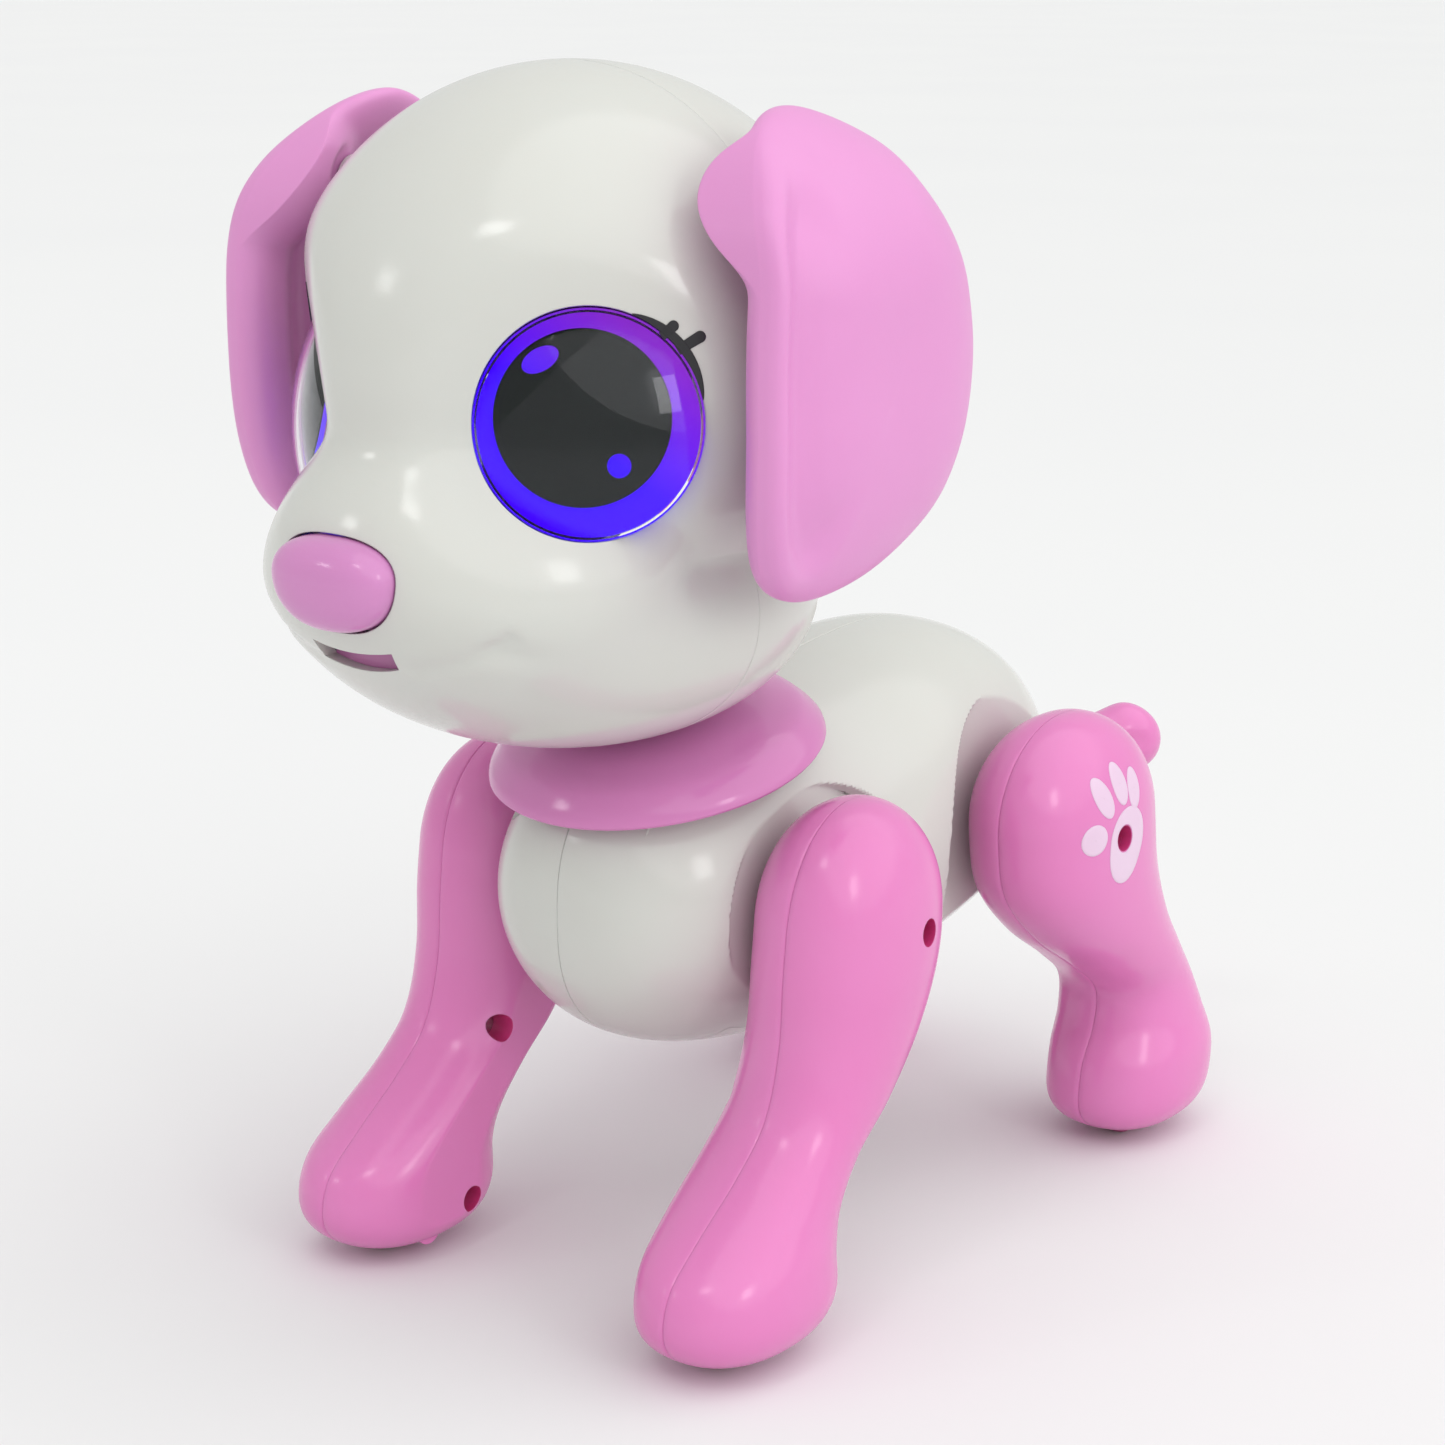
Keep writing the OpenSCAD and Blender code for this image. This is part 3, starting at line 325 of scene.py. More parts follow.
def closed_skin(name, grid, low, high):
    """A closed surface from a grid of rings that wrap round, with one point at each end."""
    rows, cols = grid.shape[:2]
    points = [low, *grid.reshape(-1, 3), high]
    last = len(points) - 1
    faces = quads(rows, cols, 1, True)
    faces += [(0, 1 + (j + 1) % cols, 1 + j) for j in range(cols)]
    end = 1 + (rows - 1) * cols
    faces += [(last, end + j, end + (j + 1) % cols) for j in range(cols)]
    return new_object(name, points, faces)


# Wall of the hollow halves, and how much of the lip the points next to a seam drop.
WALL, LIP_SHARE = 2.0, 0.35


def half_shell(name, skin, core, rows, cols, lip=0.28, seam=0.3):
    """Half of a hollow skin with a wall, and a lip along its seam that leaves a fine joint line."""
    middle = skin(np.array(0.5), np.linspace(0, 1, 60))
    length = np.linalg.norm(np.diff(middle, axis=0), axis=1).sum()
    edge = seam / length
    t = np.concatenate([[0, edge * 0.5], np.linspace(edge, 1 - edge, cols), [1 - edge * 0.5, 1]])
    s = np.arange(1, rows) / rows
    grid = skin(s[:, None], t[None, :])
    ends = [skin(np.array(0.0), np.array(0.5)), skin(np.array(1.0), np.array(0.5))]
    towards = core(s)[:, None, :] - grid
    towards /= np.linalg.norm(towards, axis=-1, keepdims=True)
    inner = grid + WALL * towards
    for column, share in ((0, 1), (1, LIP_SHARE), (-2, LIP_SHARE), (-1, 1)):
        grid[:, column] += lip * share * towards[:, column]
    ends_in = []
    for k, end in enumerate(ends):
        way = core(np.array([float(k)]))[0] - end
        ends_in.append(end + WALL * way / np.linalg.norm(way))
    n, w = rows - 1, len(t)
    outer = [ends[0], *grid.reshape(-1, 3), ends[1]]
    points = outer + [ends_in[0], *inner.reshape(-1, 3), ends_in[1]]
    base = len(outer)
    faces = quads(n, w, 1) + [(0, 2 + j, 1 + j) for j in range(w - 1)]
    tail = 1 + (n - 1) * w
    faces += [(base - 1, tail + j, tail + j + 1) for j in range(w - 1)]
    faces += [tuple(base + v for v in reversed(f)) for f in faces]
    down = [1 + i * w for i in range(n)]
    back = [i * w + w for i in range(n - 1, -1, -1)]
    faces += rim_faces([0, *down, base - 1, *back], base)
    return new_object(name, points, faces)


def rim_faces(loop, base):
    """Faces that join a closed loop of points to the same loop, base further on."""
    return [(a, b, b + base, a + base) for a, b in zip(loop, loop[1:] + loop[:1])]


def lathe(name, profile, axis_point, axis, steps=96):
    """Solid of revolution. The profile runs (along, radius) from end to end of the axis."""
    axis = Vector(axis).normalized()
    side = axis.orthogonal().normalized()
    other = axis.cross(side)
    angles = np.linspace(0, 2 * math.pi, steps, endpoint=False)
    ring = np.cos(angles)[:, None] * np.array(side) + np.sin(angles)[:, None] * np.array(other)
    along, radius = np.array(profile, float).T
    middles = np.array(axis_point, float) + along[:, None] * np.array(axis)
    grid = middles[1:-1, None] + radius[1:-1, None, None] * ring
    return closed_skin(name, grid, middles[0], middles[-1])


def rod(a, b, radius, steps=48):
    a, b = np.array(a, float), np.array(b, float)
    length = np.linalg.norm(b - a)
    return lathe("rod", [(0, 0), (0, radius), (length, radius), (length, 0)], a, b - a, steps)


BOSS_INSET, BOSS_STEPS = 0.4, 48


def fitted_boss(axis, start, u, v, radius, surface):
    """A round boss along axis, x or y, from start out to just under a skin.

    surface(u, v) gives the skin's place along the axis; u and v are the other two coordinates, in
    XYZ order.
    """
    angle = np.linspace(0, 2 * math.pi, BOSS_STEPS, endpoint=False)
    points = []
    for r in (0, radius / 2, radius):
        turn = angle if r else angle[:1]
        uu, vv = u + r * np.cos(turn), v + r * np.sin(turn)
        end = surface(uu, vv)
        points += zip(end - np.sign(end - start) * BOSS_INSET, uu, vv)
    points += [(start, a, b) for a, b in zip(uu, vv)]
    points.append((start, u, v))
    if axis == "y":
        points = [(a, along, b) for along, a, b in points]
    faces = [(0, 1 + k, 1 + (k + 1) % BOSS_STEPS) for k in range(BOSS_STEPS)]
    faces += quads(3, BOSS_STEPS, 1, True)
    last, ring = len(points) - 1, 1 + 2 * BOSS_STEPS
    faces += [(last, ring + (k + 1) % BOSS_STEPS, ring + k) for k in range(BOSS_STEPS)]
    return new_object("boss", points, faces)


def block(a, b):
    a, b = np.minimum(a, b), np.maximum(a, b)
    points = [(x, y, z) for x in (a[0], b[0]) for y in (a[1], b[1]) for z in (a[2], b[2])]
    return new_object("block", points, [
        (0, 1, 3, 2), (4, 6, 7, 5), (0, 4, 5, 1), (2, 3, 7, 6), (0, 2, 6, 4), (1, 5, 7, 3)])


def prism(name, low, high):
    """A solid between two outlines that have the same number of points."""
    n = len(low)
    faces = [tuple(range(n)), tuple(range(2 * n - 1, n - 1, -1))]
    faces += [(i, i + n, (i + 1) % n + n, (i + 1) % n) for i in range(n)]
    return new_object(name, np.concatenate([low, high]), faces)


def bake_modifiers(obj):
    depsgraph = bpy.context.evaluated_depsgraph_get()
    mesh = bpy.data.meshes.new_from_object(obj.evaluated_get(depsgraph))
    obj.modifiers.clear()
    old, obj.data = obj.data, mesh
    bpy.data.meshes.remove(old)


def combine(obj, tools, operation="DIFFERENCE"):
    """Cuts the tools from obj, or joins them to it, one after the other."""
    for tool in tools:
        step = obj.modifiers.new("step", "BOOLEAN")
        step.operation = operation
        step.solver = "MANIFOLD"
        step.object = tool
    bake_modifiers(obj)
    for tool in tools:
        bpy.data.objects.remove(tool)


# How far past a well's radius the faces that get the painted shade may reach.
WELL_MARGIN = 0.02


def paint_well_shade(obj, wells):
    """Gives the faces inside a leg's screw wells, at each (y, z), a darker, deeper pink: painted
    shade of the deep recess.
    """
    obj.data.materials.append(WELL_SHADE_PINK)
    reach = LEG_SINK_R + WELL_MARGIN
    points = np.array([v.co for v in obj.data.vertices]) / MM
    for face in obj.data.polygons:
        p = points[list(face.vertices)]
        if any(np.all(np.hypot(p[:, 1] - y, p[:, 2] - z) < reach) for y, z in wells):
            face.material_index = 1


def finish_piece(obj, name, body, slot, material, *replaced, sharp=32):
    """Names the piece, smooths it, and says what it rides on and stands for."""
    obj.name = name
    obj.data.name = name
    obj.data.shade_smooth()
    obj.data.set_sharp_from_angle(angle=math.radians(sharp))
    obj.data.materials.clear()
    obj.data.materials.append(material)
    if replaced:
        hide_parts(*replaced)
    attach(obj, body)


# ---- Body ----
# Ends of the body's axis along Y, then its greatest radius and how that falls off along Y.
CHEST_Y, RUMP_Y = -49.5, 76.5
BODY_R, BODY_MID_Y, BODY_HALF, BODY_POWER = 31, 13.5, 63, 2.7
# Shells are hollowed towards an axis that ends this far short of the chest and rump.
BODY_CORE_SHORT = 30
# Rings along a body half, and points across it.
BODY_GRID = (320, 180)
# Hips at (y, z), the pockets round them with their radius, and X of the pockets' floor.
FRONT_HIP, REAR_HIP = (-14.5, 64.5), (46.5, 66.0)
POCKETS = ((*FRONT_HIP, 19.5), (*REAR_HIP, 23.5))
POCKET_X, POCKET_RIM = 23.5, 10
NECK_Y = -25.5
# Radii of a screw's hole, of its head's well in the body and in the legs, and of a boss.
SCREW_R, SINK_R, LEG_SINK_R, BOSS_R = 1.1, 2.7, 2.35, 3.3
# Gap between a boss and the middle plane of its shell.
SEAM_GAP = 0.02
# Body screws: y, z, and how far the boss in the left half reaches.
BODY_SCREWS = ((-39, 80, 12.8), (-2, 92.9, 11), (60, 87, 15), (57, 52, 13))
WELL_FROM_X, WELL_TO_X = -6.5, -40
DOOR = np.array([(-16.5, -25, 30), (16.5, 29, 45.2)])
DOOR_GAP = np.array([0.15, 0.15, 0])
DOOR_WELL = ((0, 26, 30), (0, 26, 39.6))
SWITCH_SLOT = ((-2.6, 34, 30), (2.6, 44, 48))


def body_y(s):
    return CHEST_Y + (RUMP_Y - CHEST_Y) * (1 - cos_d(180 * s)) / 2


def body_axis_z(y):
    return 66 + 5 * smooth(-11.5, 48.5, y)


def body_radius(y):
    return BODY_R * bulge((y - BODY_MID_Y) / BODY_HALF, BODY_POWER)


def body_skin(side):
    def skin(s, t):
        y = body_y(s)
        r = body_radius(y)
        a = 180 * t - 90
        x, z = r * cos_d(a), body_axis_z(y) + r * sin_d(a)
        limits = [POCKET_X + 40 * smooth(size, size + POCKET_RIM, np.hypot(y - at_y, z - at_z))
                  for at_y, at_z, size in POCKETS]
        return stack(side * soft_min(x, np.min(limits, axis=0), 1.6 * smooth(24, 27, x)), y, z)
    return skin


def body_core(s):
    y = np.clip(body_y(s), CHEST_Y + BODY_CORE_SHORT, RUMP_Y - BODY_CORE_SHORT)
    return stack(0 * y, y, body_axis_z(y))


def body_right_x(y, z):
    """X of the body's right skin at (y, z), away from the pockets."""
    return -np.sqrt(np.maximum(0.01, body_radius(y) ** 2 - (z - body_axis_z(y)) ** 2))


def make_body():
    doors = []
    for name, side in SIDES:
        shell = half_shell("body", body_skin(side), body_core, *BODY_GRID)
        doors.append(bpy.data.objects.new("door", shell.data.copy()))
        bpy.context.scene.collection.objects.link(doors[-1])
        if side > 0:
            bosses = [rod((SEAM_GAP, y, z), (reach, y, z), BOSS_R) for y, z, reach in BODY_SCREWS]
        else:
            bosses = [fitted_boss("x", -SEAM_GAP, y, z, BOSS_R, body_right_x)
                      for y, z, _ in BODY_SCREWS]
        combine(shell, bosses, "UNION")
        tools = [block(DOOR[0] - DOOR_GAP, DOOR[1] + DOOR_GAP), block(*SWITCH_SLOT),
                 rod((0, NECK_Y, 70), (0, NECK_Y, 100), 10), tail_slot()]
        if side < 0:
            tools += [rod((WELL_FROM_X, y, z), (WELL_TO_X, y, z), SINK_R)
                      for y, z, _ in BODY_SCREWS]
        combine(shell, tools)
        finish_piece(shell, "body_skin_" + name, "torso", "white_shell", WHITE,
                     "body_shell_" + name)
    for half in doors:
        combine(half, [block(*DOOR)], "INTERSECT")
    door, other = doors
    combine(door, [other], "UNION")
    combine(door, [rod(*DOOR_WELL, SINK_R)])
    finish_piece(door, "battery_lid", "torso", "white_shell", WHITE, "battery_door")


def tail_slot():
    """Half disc slot at the rump that the tail swings in."""
    slot = rod((0, 70, 67), (0, 70, 77), 12)
    combine(slot, [block((-20, 69, 60), (20, 100, 84))], "INTERSECT")
    return slot


# ---- Legs ----
# X of a leg's seam plane and flat inner side, and the height of the paw's underside.
SEAM_X, LEG_INNER_X, LEG_FOOT = 37, 24.5, 1.8
INWARD = SEAM_X - LEG_INNER_X
# The inner half is this much wider before its side is cut flat.
INNER_SPARE = 0.8
LEG_POWER = 2 / 2.25
LEG_GRID, LEG_LIP = (150, 64), 0.22
# Each row: height, middle along Y from the hip, half depth along Y, half width of the outer side.
FRONT_ROWS = [
    [0, -35.6, 16.5, 12.5], [10, -35.6, 18.8, 14], [17, -34.6, 17.8, 13.5], [23, -30, 15.3, 12],
    [30, -22.2, 13.4, 10.8], [37, -14.4, 13.9, 11], [48, -8.2, 16.2, 12], [60, -5.4, 17.9, 13],
    [72, -4.4, 17.6, 12.6], [86, -4.2, 17, 12]]
REAR_ROWS = [
    [0, 26, 15.2, 12.5], [9, 26.8, 17.6, 14], [17, 27.8, 17.6, 14], [24, 28.4, 14.4, 12],
    [31, 26.6, 12.6, 10.8], [38, 19.6, 14.4, 11.5], [46, 10.6, 17.8, 12.6], [56, 3.2, 21, 13.4],
    [66, 1, 21.8, 13.4], [87, -0.2, 21.2, 12.6]]
# Rows, hip (y, z), the roller's y from the hip, and the shell screws: y from the hip, z.
LEGS = {
    "front": (FRONT_ROWS, FRONT_HIP, -38.5, ((-21.1, 37.4), (-30, 8.6))),
    "rear": (REAR_ROWS, REAR_HIP, 23.5, ((13.5, 44), (32.2, 8.6)))}
ROLLER_R, ROLLER_Z, ROLLER_ROOM, AXLE_BORE = 5.5, 5.5, 0.5, 1.56
# The roller from one axle end to the other: X, radius.
ROLLER_PROFILE = (
    (29.4, 0), (29.4, 1.5), (34, 1.5), (34, 4.9), (34.25, 5.3), (34.7, 5.5), (36.5, 5.5),
    (36.7, 5.2), (37.3, 5.2), (37.5, 5.5), (39.3, 5.5), (39.75, 5.3), (40, 4.9), (40, 1.5),
    (43.6, 1.5), (43.6, 0))


def leg_ring(rows, z, out):
    """Middle along Y from the hip, half depth along Y, half width, at height z."""
    top = rows[-1][0]
    row = curve(rows, z)
    cap = np.minimum(bulge(np.maximum(0, (z - top + 19) / 19), 2.1),
                     bulge(np.maximum(0, (12 - z) / (12 - LEG_FOOT)), 3))
    wide = row[..., 3] if out > 0 else INWARD + INNER_SPARE + 0 * z
    return row[..., 1], cap * row[..., 2], cap * wide


def leg_z(rows, s):
    top = rows[-1][0]
    return top + (LEG_FOOT - top) * (1 - cos_d(180 * s)) / 2


def leg_skin(rows, hip_y, side, out):
    def skin(s, t):
        z = leg_z(rows, s)
        middle, deep, wide = leg_ring(rows, z, out)
        a = 180 * t - 90
        x = wide * spow(cos_d(a), LEG_POWER)
        if out < 0:
            x = np.minimum(x, INWARD)
        y = hip_y + middle + out * deep * spow(sin_d(a), LEG_POWER)
        return stack(side * (SEAM_X + out * x), y, z)
    return skin


def leg_core(rows, hip_y, side):
    def core(s):
        z = leg_z(rows, s)
        y = hip_y + curve(rows, z)[..., 1]
        return stack(side * SEAM_X + 0 * z, y, np.clip(z, LEG_FOOT + 12, rows[-1][0] - 17))
    return core


def leg_reach(rows, hip_y, y, z, out):
    """How far the leg's skin is from its seam plane at (y, z)."""
    middle, deep, wide = leg_ring(rows, z, out)
    share = np.clip(np.abs(y - hip_y - middle) / deep, 0, 1)
    return wide * np.maximum(0, 1 - share ** (2 / LEG_POWER)) ** (LEG_POWER / 2)


def make_leg(end, name, side):
    rows, (hip_y, hip_z), roller_y, screws = LEGS[end]
    leg = f"{end}_{name}"
    wheel_y = hip_y + roller_y
    wells = [(hip_y + y, z) for y, z in screws]
    core = leg_core(rows, hip_y, side)

    def bar(x0, x1, y, z, r):
        return rod((side * x0, y, z), (side * x1, y, z), r)

    def inner_x(y, z):
        return side * (SEAM_X - np.minimum(INWARD, leg_reach(rows, hip_y, y, z, -1)))

    outer = half_shell(leg, leg_skin(rows, hip_y, side, 1), core, *LEG_GRID, lip=LEG_LIP)
    combine(outer, [
        bar(36.2, 48.4, hip_y, hip_z, 4.6), bar(40.6, 45, wheel_y, ROLLER_Z, 2.9)], "UNION")
    combine(outer, [
        bar(42, 56, hip_y, hip_z, LEG_SINK_R), bar(30, 44, hip_y, hip_z, SCREW_R),
        bar(30, 40.5, wheel_y, ROLLER_Z, ROLLER_R + ROLLER_ROOM),
        bar(30, 44, wheel_y, ROLLER_Z, AXLE_BORE)])
    finish_piece(outer, leg + "_outer_skin", leg + "_leg", "pink_shell", PINK, leg + "_outer_shell")
    paint_well_shade(outer, [(hip_y, hip_z)])
    inner = half_shell(leg, leg_skin(rows, hip_y, side, -1), core, *LEG_GRID, lip=LEG_LIP)
    bosses = [fitted_boss("x", side * (SEAM_X - SEAM_GAP), y, z, BOSS_R, inner_x) for y, z in wells]
    combine(inner, bosses + [bar(27, 33.4, wheel_y, ROLLER_Z, 2.9)], "UNION")
    combine(inner, [
        bar(20, 30, hip_y, hip_z, 3), *(bar(20, 30.5, y, z, LEG_SINK_R) for y, z in wells),
        bar(33.5, 40, wheel_y, ROLLER_Z, ROLLER_R + ROLLER_ROOM),
        bar(29, 40, wheel_y, ROLLER_Z, AXLE_BORE)])
    finish_piece(inner, leg + "_inner_skin", leg + "_leg", "pink_shell", PINK, leg + "_inner_shell")
    paint_well_shade(inner, wells)
    wheel = lathe("wheel", ROLLER_PROFILE, (0, wheel_y, ROLLER_Z), (side, 0, 0), 72)
    finish_piece(wheel, leg + "_wheel", leg + "_roller", "deep_pink_roller", RUBBER,
                 leg + "_roller")
    if end == "rear":
        paw_print(leg, rows, hip_y, side)


# Step for slopes, and how far a print stands over the skin, in its middle and at its rim, and
# reaches under it.
SLOPE_STEP = 0.05
PRINT_RISE, PRINT_RIM_RISE, PRINT_DEPTH = 0.07, 0.02, 0.15


def on_leg(rows, hip_y, side, y, z, lift):
    """Points on the outside of a leg at (y, z), raised by lift."""
    def x_at(y, z):
        return SEAM_X + leg_reach(rows, hip_y, y, z, 1)

    h = SLOPE_STEP
    normal = stack(1 + 0 * y, (x_at(y - h, z) - x_at(y + h, z)) / (2 * h),
                   (x_at(y, z - h) - x_at(y, z + h)) / (2 * h))
    normal /= np.linalg.norm(normal, axis=-1, keepdims=True)
    points = stack(x_at(y, z), y, z) + np.asarray(lift)[..., None] * normal
    return points * np.array([side, 1, 1])


def patch(name, place, spokes, inner=0.0):
    """A thin printed patch: place(share, angle, lift) gives its points, from middle to rim."""
    share = np.array([*np.linspace(inner, 0.97, 6), 1.0])[:, None]
    angle = np.linspace(0, 2 * math.pi, spokes, endpoint=False)[None, :]
    lift = np.where(share < 1, PRINT_RISE, PRINT_RIM_RISE)
    top, under = place(share, angle, lift), place(share, angle, 0 * lift - PRINT_DEPTH)
    points = np.concatenate([top.reshape(-1, 3), under.reshape(-1, 3)])
    rows = len(share)
    base = rows * spokes
    faces = quads(rows, spokes, 0, True)
    faces += [tuple(base + v for v in reversed(f)) for f in faces]
    for start in (0, (rows - 1) * spokes):
        faces += rim_faces(list(range(start, start + spokes)), base)
    return new_object(name, points, faces)


# Toes of the printed paw: middle (y, z) from the hip, half sizes, and tilt in degrees.
TOES = ((-5.7, 8.4, 2.2, 4.1, 26), (-0.3, 9.9, 2.2, 3.9, 10), (4.2, 8.2, 2.1, 3.7, -8),
        (-8.6, 1.4, 3.2, 2.8, 0))
# The heel pad starts at this radius, round the screw well.
PAD_INNER_R = LEG_SINK_R + 0.2


def paw_print(leg, rows, hip_y, side):
    hip_z = REAR_HIP[1]
    for k, (cy, cz, ry, rz, tilt) in enumerate(TOES):
        def toe_place(share, angle, lift):
            u, v = share * ry * np.cos(angle), share * rz * np.sin(angle)
            y = cy + u * cos_d(tilt) - v * sin_d(tilt)
            z = cz + u * sin_d(tilt) + v * cos_d(tilt)
            return on_leg(rows, hip_y, side, hip_y + y, hip_z + z, lift)
        toe = patch("toe", toe_place, 40, 0.02)
        finish_piece(toe, f"{leg}_toe_print_{k + 1}", leg + "_leg", "pink_shell", PRINT)

    def lobe(angle, towards, power):
        return np.clip(0.5 + 0.5 * np.cos(angle - math.radians(towards)), 0, 1) ** power

    def pad_place(share, angle, lift):
        wide = 4.3 + 2.6 * lobe(angle, 12, 2) + 3.6 * lobe(angle, -98, 6)
        r = PAD_INNER_R + share * (wide - PAD_INNER_R)
        return on_leg(rows, hip_y, side, hip_y + r * np.cos(angle), hip_z + r * np.sin(angle), lift)
    heel = patch("heel", pad_place, 64)
    finish_piece(heel, leg + "_heel_print", leg + "_leg", "pink_shell", PRINT)


# ---- Tail ----
# The tail's hinge at (y, z), its turn at rest in degrees, and its two ends from the hinge.
TAIL_AXIS, TAIL_REST = (70, 72), 37.5
TAIL_ROOT, TAIL_TIP = 5, 41.3
# Each row: distance from the hinge, height of the middle, half width, half height.
TAIL_ROWS = [
    [6, -0.2, 3.1, 3.4], [12, -1, 3.2, 3.4], [20, -2, 3.8, 3.8], [27, -2.8, 5.2, 4.8],
    [34, -3, 6, 7.2], [42, -3.6, 5.6, 7.4]]


def make_tail():
    s = np.linspace(0, 1, 90)[1:-1, None]
    t = np.linspace(0, 1, 96, endpoint=False)[None, :]
    y = TAIL_ROOT + (TAIL_TIP - TAIL_ROOT) * (1 - cos_d(180 * s)) / 2
    row = curve(TAIL_ROWS, y)
    cap = bulge(np.maximum(0, (y - TAIL_TIP + 10) / 10), 2.1)
    groove = np.exp(-((sin_d(360 * t) - 0.1) / 0.3) ** 2) * smooth(14, 24, y) * smooth(40, 34, y)
    x = cap * row[..., 2] * cos_d(360 * t) * (1 - 0.10 * groove)
    grid = stack(x, y + 0 * t, row[..., 1] + cap * row[..., 3] * sin_d(360 * t))
    root = np.array([0, TAIL_ROOT, 0.0])
    tip = np.array([0, TAIL_TIP, curve(TAIL_ROWS, np.array(TAIL_TIP))[1]])
    turn = np.array(Matrix.Rotation(math.radians(-TAIL_REST), 3, "Z"))
    grid, root, tip = (p @ turn.T + np.array([0, *TAIL_AXIS]) for p in (grid, root, tip))
    tail = closed_skin("tail", grid, root, tip)
    hinge_y = TAIL_AXIS[0]
    combine(tail, [rod((0, hinge_y, 68.2), (0, hinge_y, 75.8), 3.8)], "UNION")
    combine(tail, [rod((0, hinge_y, 60), (0, hinge_y, 80), AXLE_BORE)])
    finish_piece(tail, "tail_skin", "tail", "pink_shell", PINK, "tail")


# ---- Collar ----
COLLAR_AT, COLLAR_TILT = (0, -23.5, 90.3), 13
# Top and underside of the cape: radius, height along its tilted axis.
COLLAR_TOP = [[6, 7.9], [14.4, 7.4], [20.6, 6.0], [24.8, 3.8], [27.6, 1.0], [28.4, -0.2]]
COLLAR_UNDER = [
    [28.6, -1.2], [28.3, -1.62], [27.6, -1.6], [24.5, 1.2], [20, 3.4], [14, 5], [6, 5.8]]
# The top is this much lower under the head, so that the turning head never rubs on it.
COLLAR_CLEAR = 0.5


def make_collar():
    radius = np.linspace(COLLAR_TOP[0][0], COLLAR_TOP[-1][0], 48)
    top = curve(COLLAR_TOP, radius)[..., 1] - COLLAR_CLEAR * smooth(26, 21, radius)
    profile = [(top[0], 0), *zip(top, radius), *((z, r) for r, z in COLLAR_UNDER),
               (COLLAR_UNDER[-1][1], 0)]
    tilt = Matrix.Rotation(math.radians(COLLAR_TILT), 3, "X")
    collar = lathe("collar", profile, COLLAR_AT, tilt @ Vector((0, 0, 1)), 160)
    neck_hole = rod((0, NECK_Y, 70), (0, NECK_Y, 110), 10)
    body_bed = rod((0, -6, 66.9), (0, 20, 66.9), 31.1, 160)
    combine(collar, [neck_hole, body_bed])
    finish_piece(collar, "collar_cape", "torso", "lilac_trim", LILAC_TRIM, "neck_collar")


# ---- Head ----
# The head is three ellipsoids run together: each has its middle from HEAD and its half sizes.
HEAD = np.array([0, -43.5, 150.0])
BLOBS = (((0, 0, 8.2), (44.6, 48, 45)), ((0, 1, -30.5), (36, 41, 23.5)),
         ((0, -27.1, -19.2), (34, 28.5, 21.5)))
HEAD_BLEND = 10
# The eye sockets: depth, width in degrees, and direction from HEAD.
SOCKET_DEPTH, SOCKET_WIDE = 6.2, 25.8
SOCKET_DIR = np.array([sin_d(40) * cos_d(3), -cos_d(40) * cos_d(3), sin_d(3)])
HEAD_GRID, HEAD_LIP, HEAD_SEAM = (240, 150), 0.06, 0.2
# An eye's radius, turn to the side and tilt up in degrees, and the left eye's middle.
EYE_R, EYE_TURN, EYE_LIFT = 17, 40, 10
EYE_AT = (26.9, -72.1, 152.8)
NOSE_Z, NOSE_GAP = 130.2, 0.35
MOUTH_Z = 117.8
# Y between which the nose and mouth openings are cut.
FACE_CUT_Y = (-113.5, -83.5)
# Screws of the back of the head at (x, z), and the radius of their bosses.
HEAD_SCREWS = ((36, 150), (-36, 150), (0, 198.2), (19, 104.4), (-19, 104.4))
HEAD_BOSS_R = 3.4
# Crease of the smile on one cheek: X and Z along it, and its half width.
SMILE = np.array([(9.5, 117.3), (15, 118.4), (18.7, 119.7), (21.8, 121.3), (24.4, 123.2)])
SMILE_WIDE = 0.95
# Halvings that find a point of the head's skin.
SEARCH_STEPS = 40


def blob_reach(blob, d):
    """Distance from HEAD to the far side of an ellipsoid in the directions d."""
    centre, size = np.array(blob[0], float), np.array(blob[1], float)
    q, c = d / size, centre / size
    aa, bb, cc = (q * q).sum(-1), (q * c).sum(-1), (c * c).sum() - 1
    return (bb + np.sqrt(np.maximum(0, bb * bb - aa * cc))) / aa


def head_reach(d):
    x, y, z = np.abs(d[..., 0]), d[..., 1], d[..., 2]
    cosine = x * SOCKET_DIR[0] + y * SOCKET_DIR[1] + z * SOCKET_DIR[2]
    a = np.degrees(np.arccos(np.clip(cosine, -1, 1)))
    total = sum(blob_reach(b, d) ** HEAD_BLEND for b in BLOBS) ** (1 / HEAD_BLEND)
    return total - SOCKET_DEPTH * np.exp(-(a / SOCKET_WIDE) ** 4)


def head_surface(start, way, low, high):
    """How far along way, from each start, the head's skin is; it lies between low and high."""
    low, high = np.full(start.shape[:-1], float(low)), np.full(start.shape[:-1], float(high))
    for _ in range(SEARCH_STEPS):
        middle = (low + high) / 2
        p = start + middle[..., None] * way - HEAD
        length = np.linalg.norm(p, axis=-1)
        inside = length < head_reach(p / length[..., None])
        low, high = np.where(inside, middle, low), np.where(inside, high, middle)
    return low


def back_of_head(x, z):
    """Y of the head's back surface at (x, z)."""
    return head_surface(stack(x, 0 * x, z), np.array([0, 1, 0]), HEAD[1], HEAD[1] + 60)


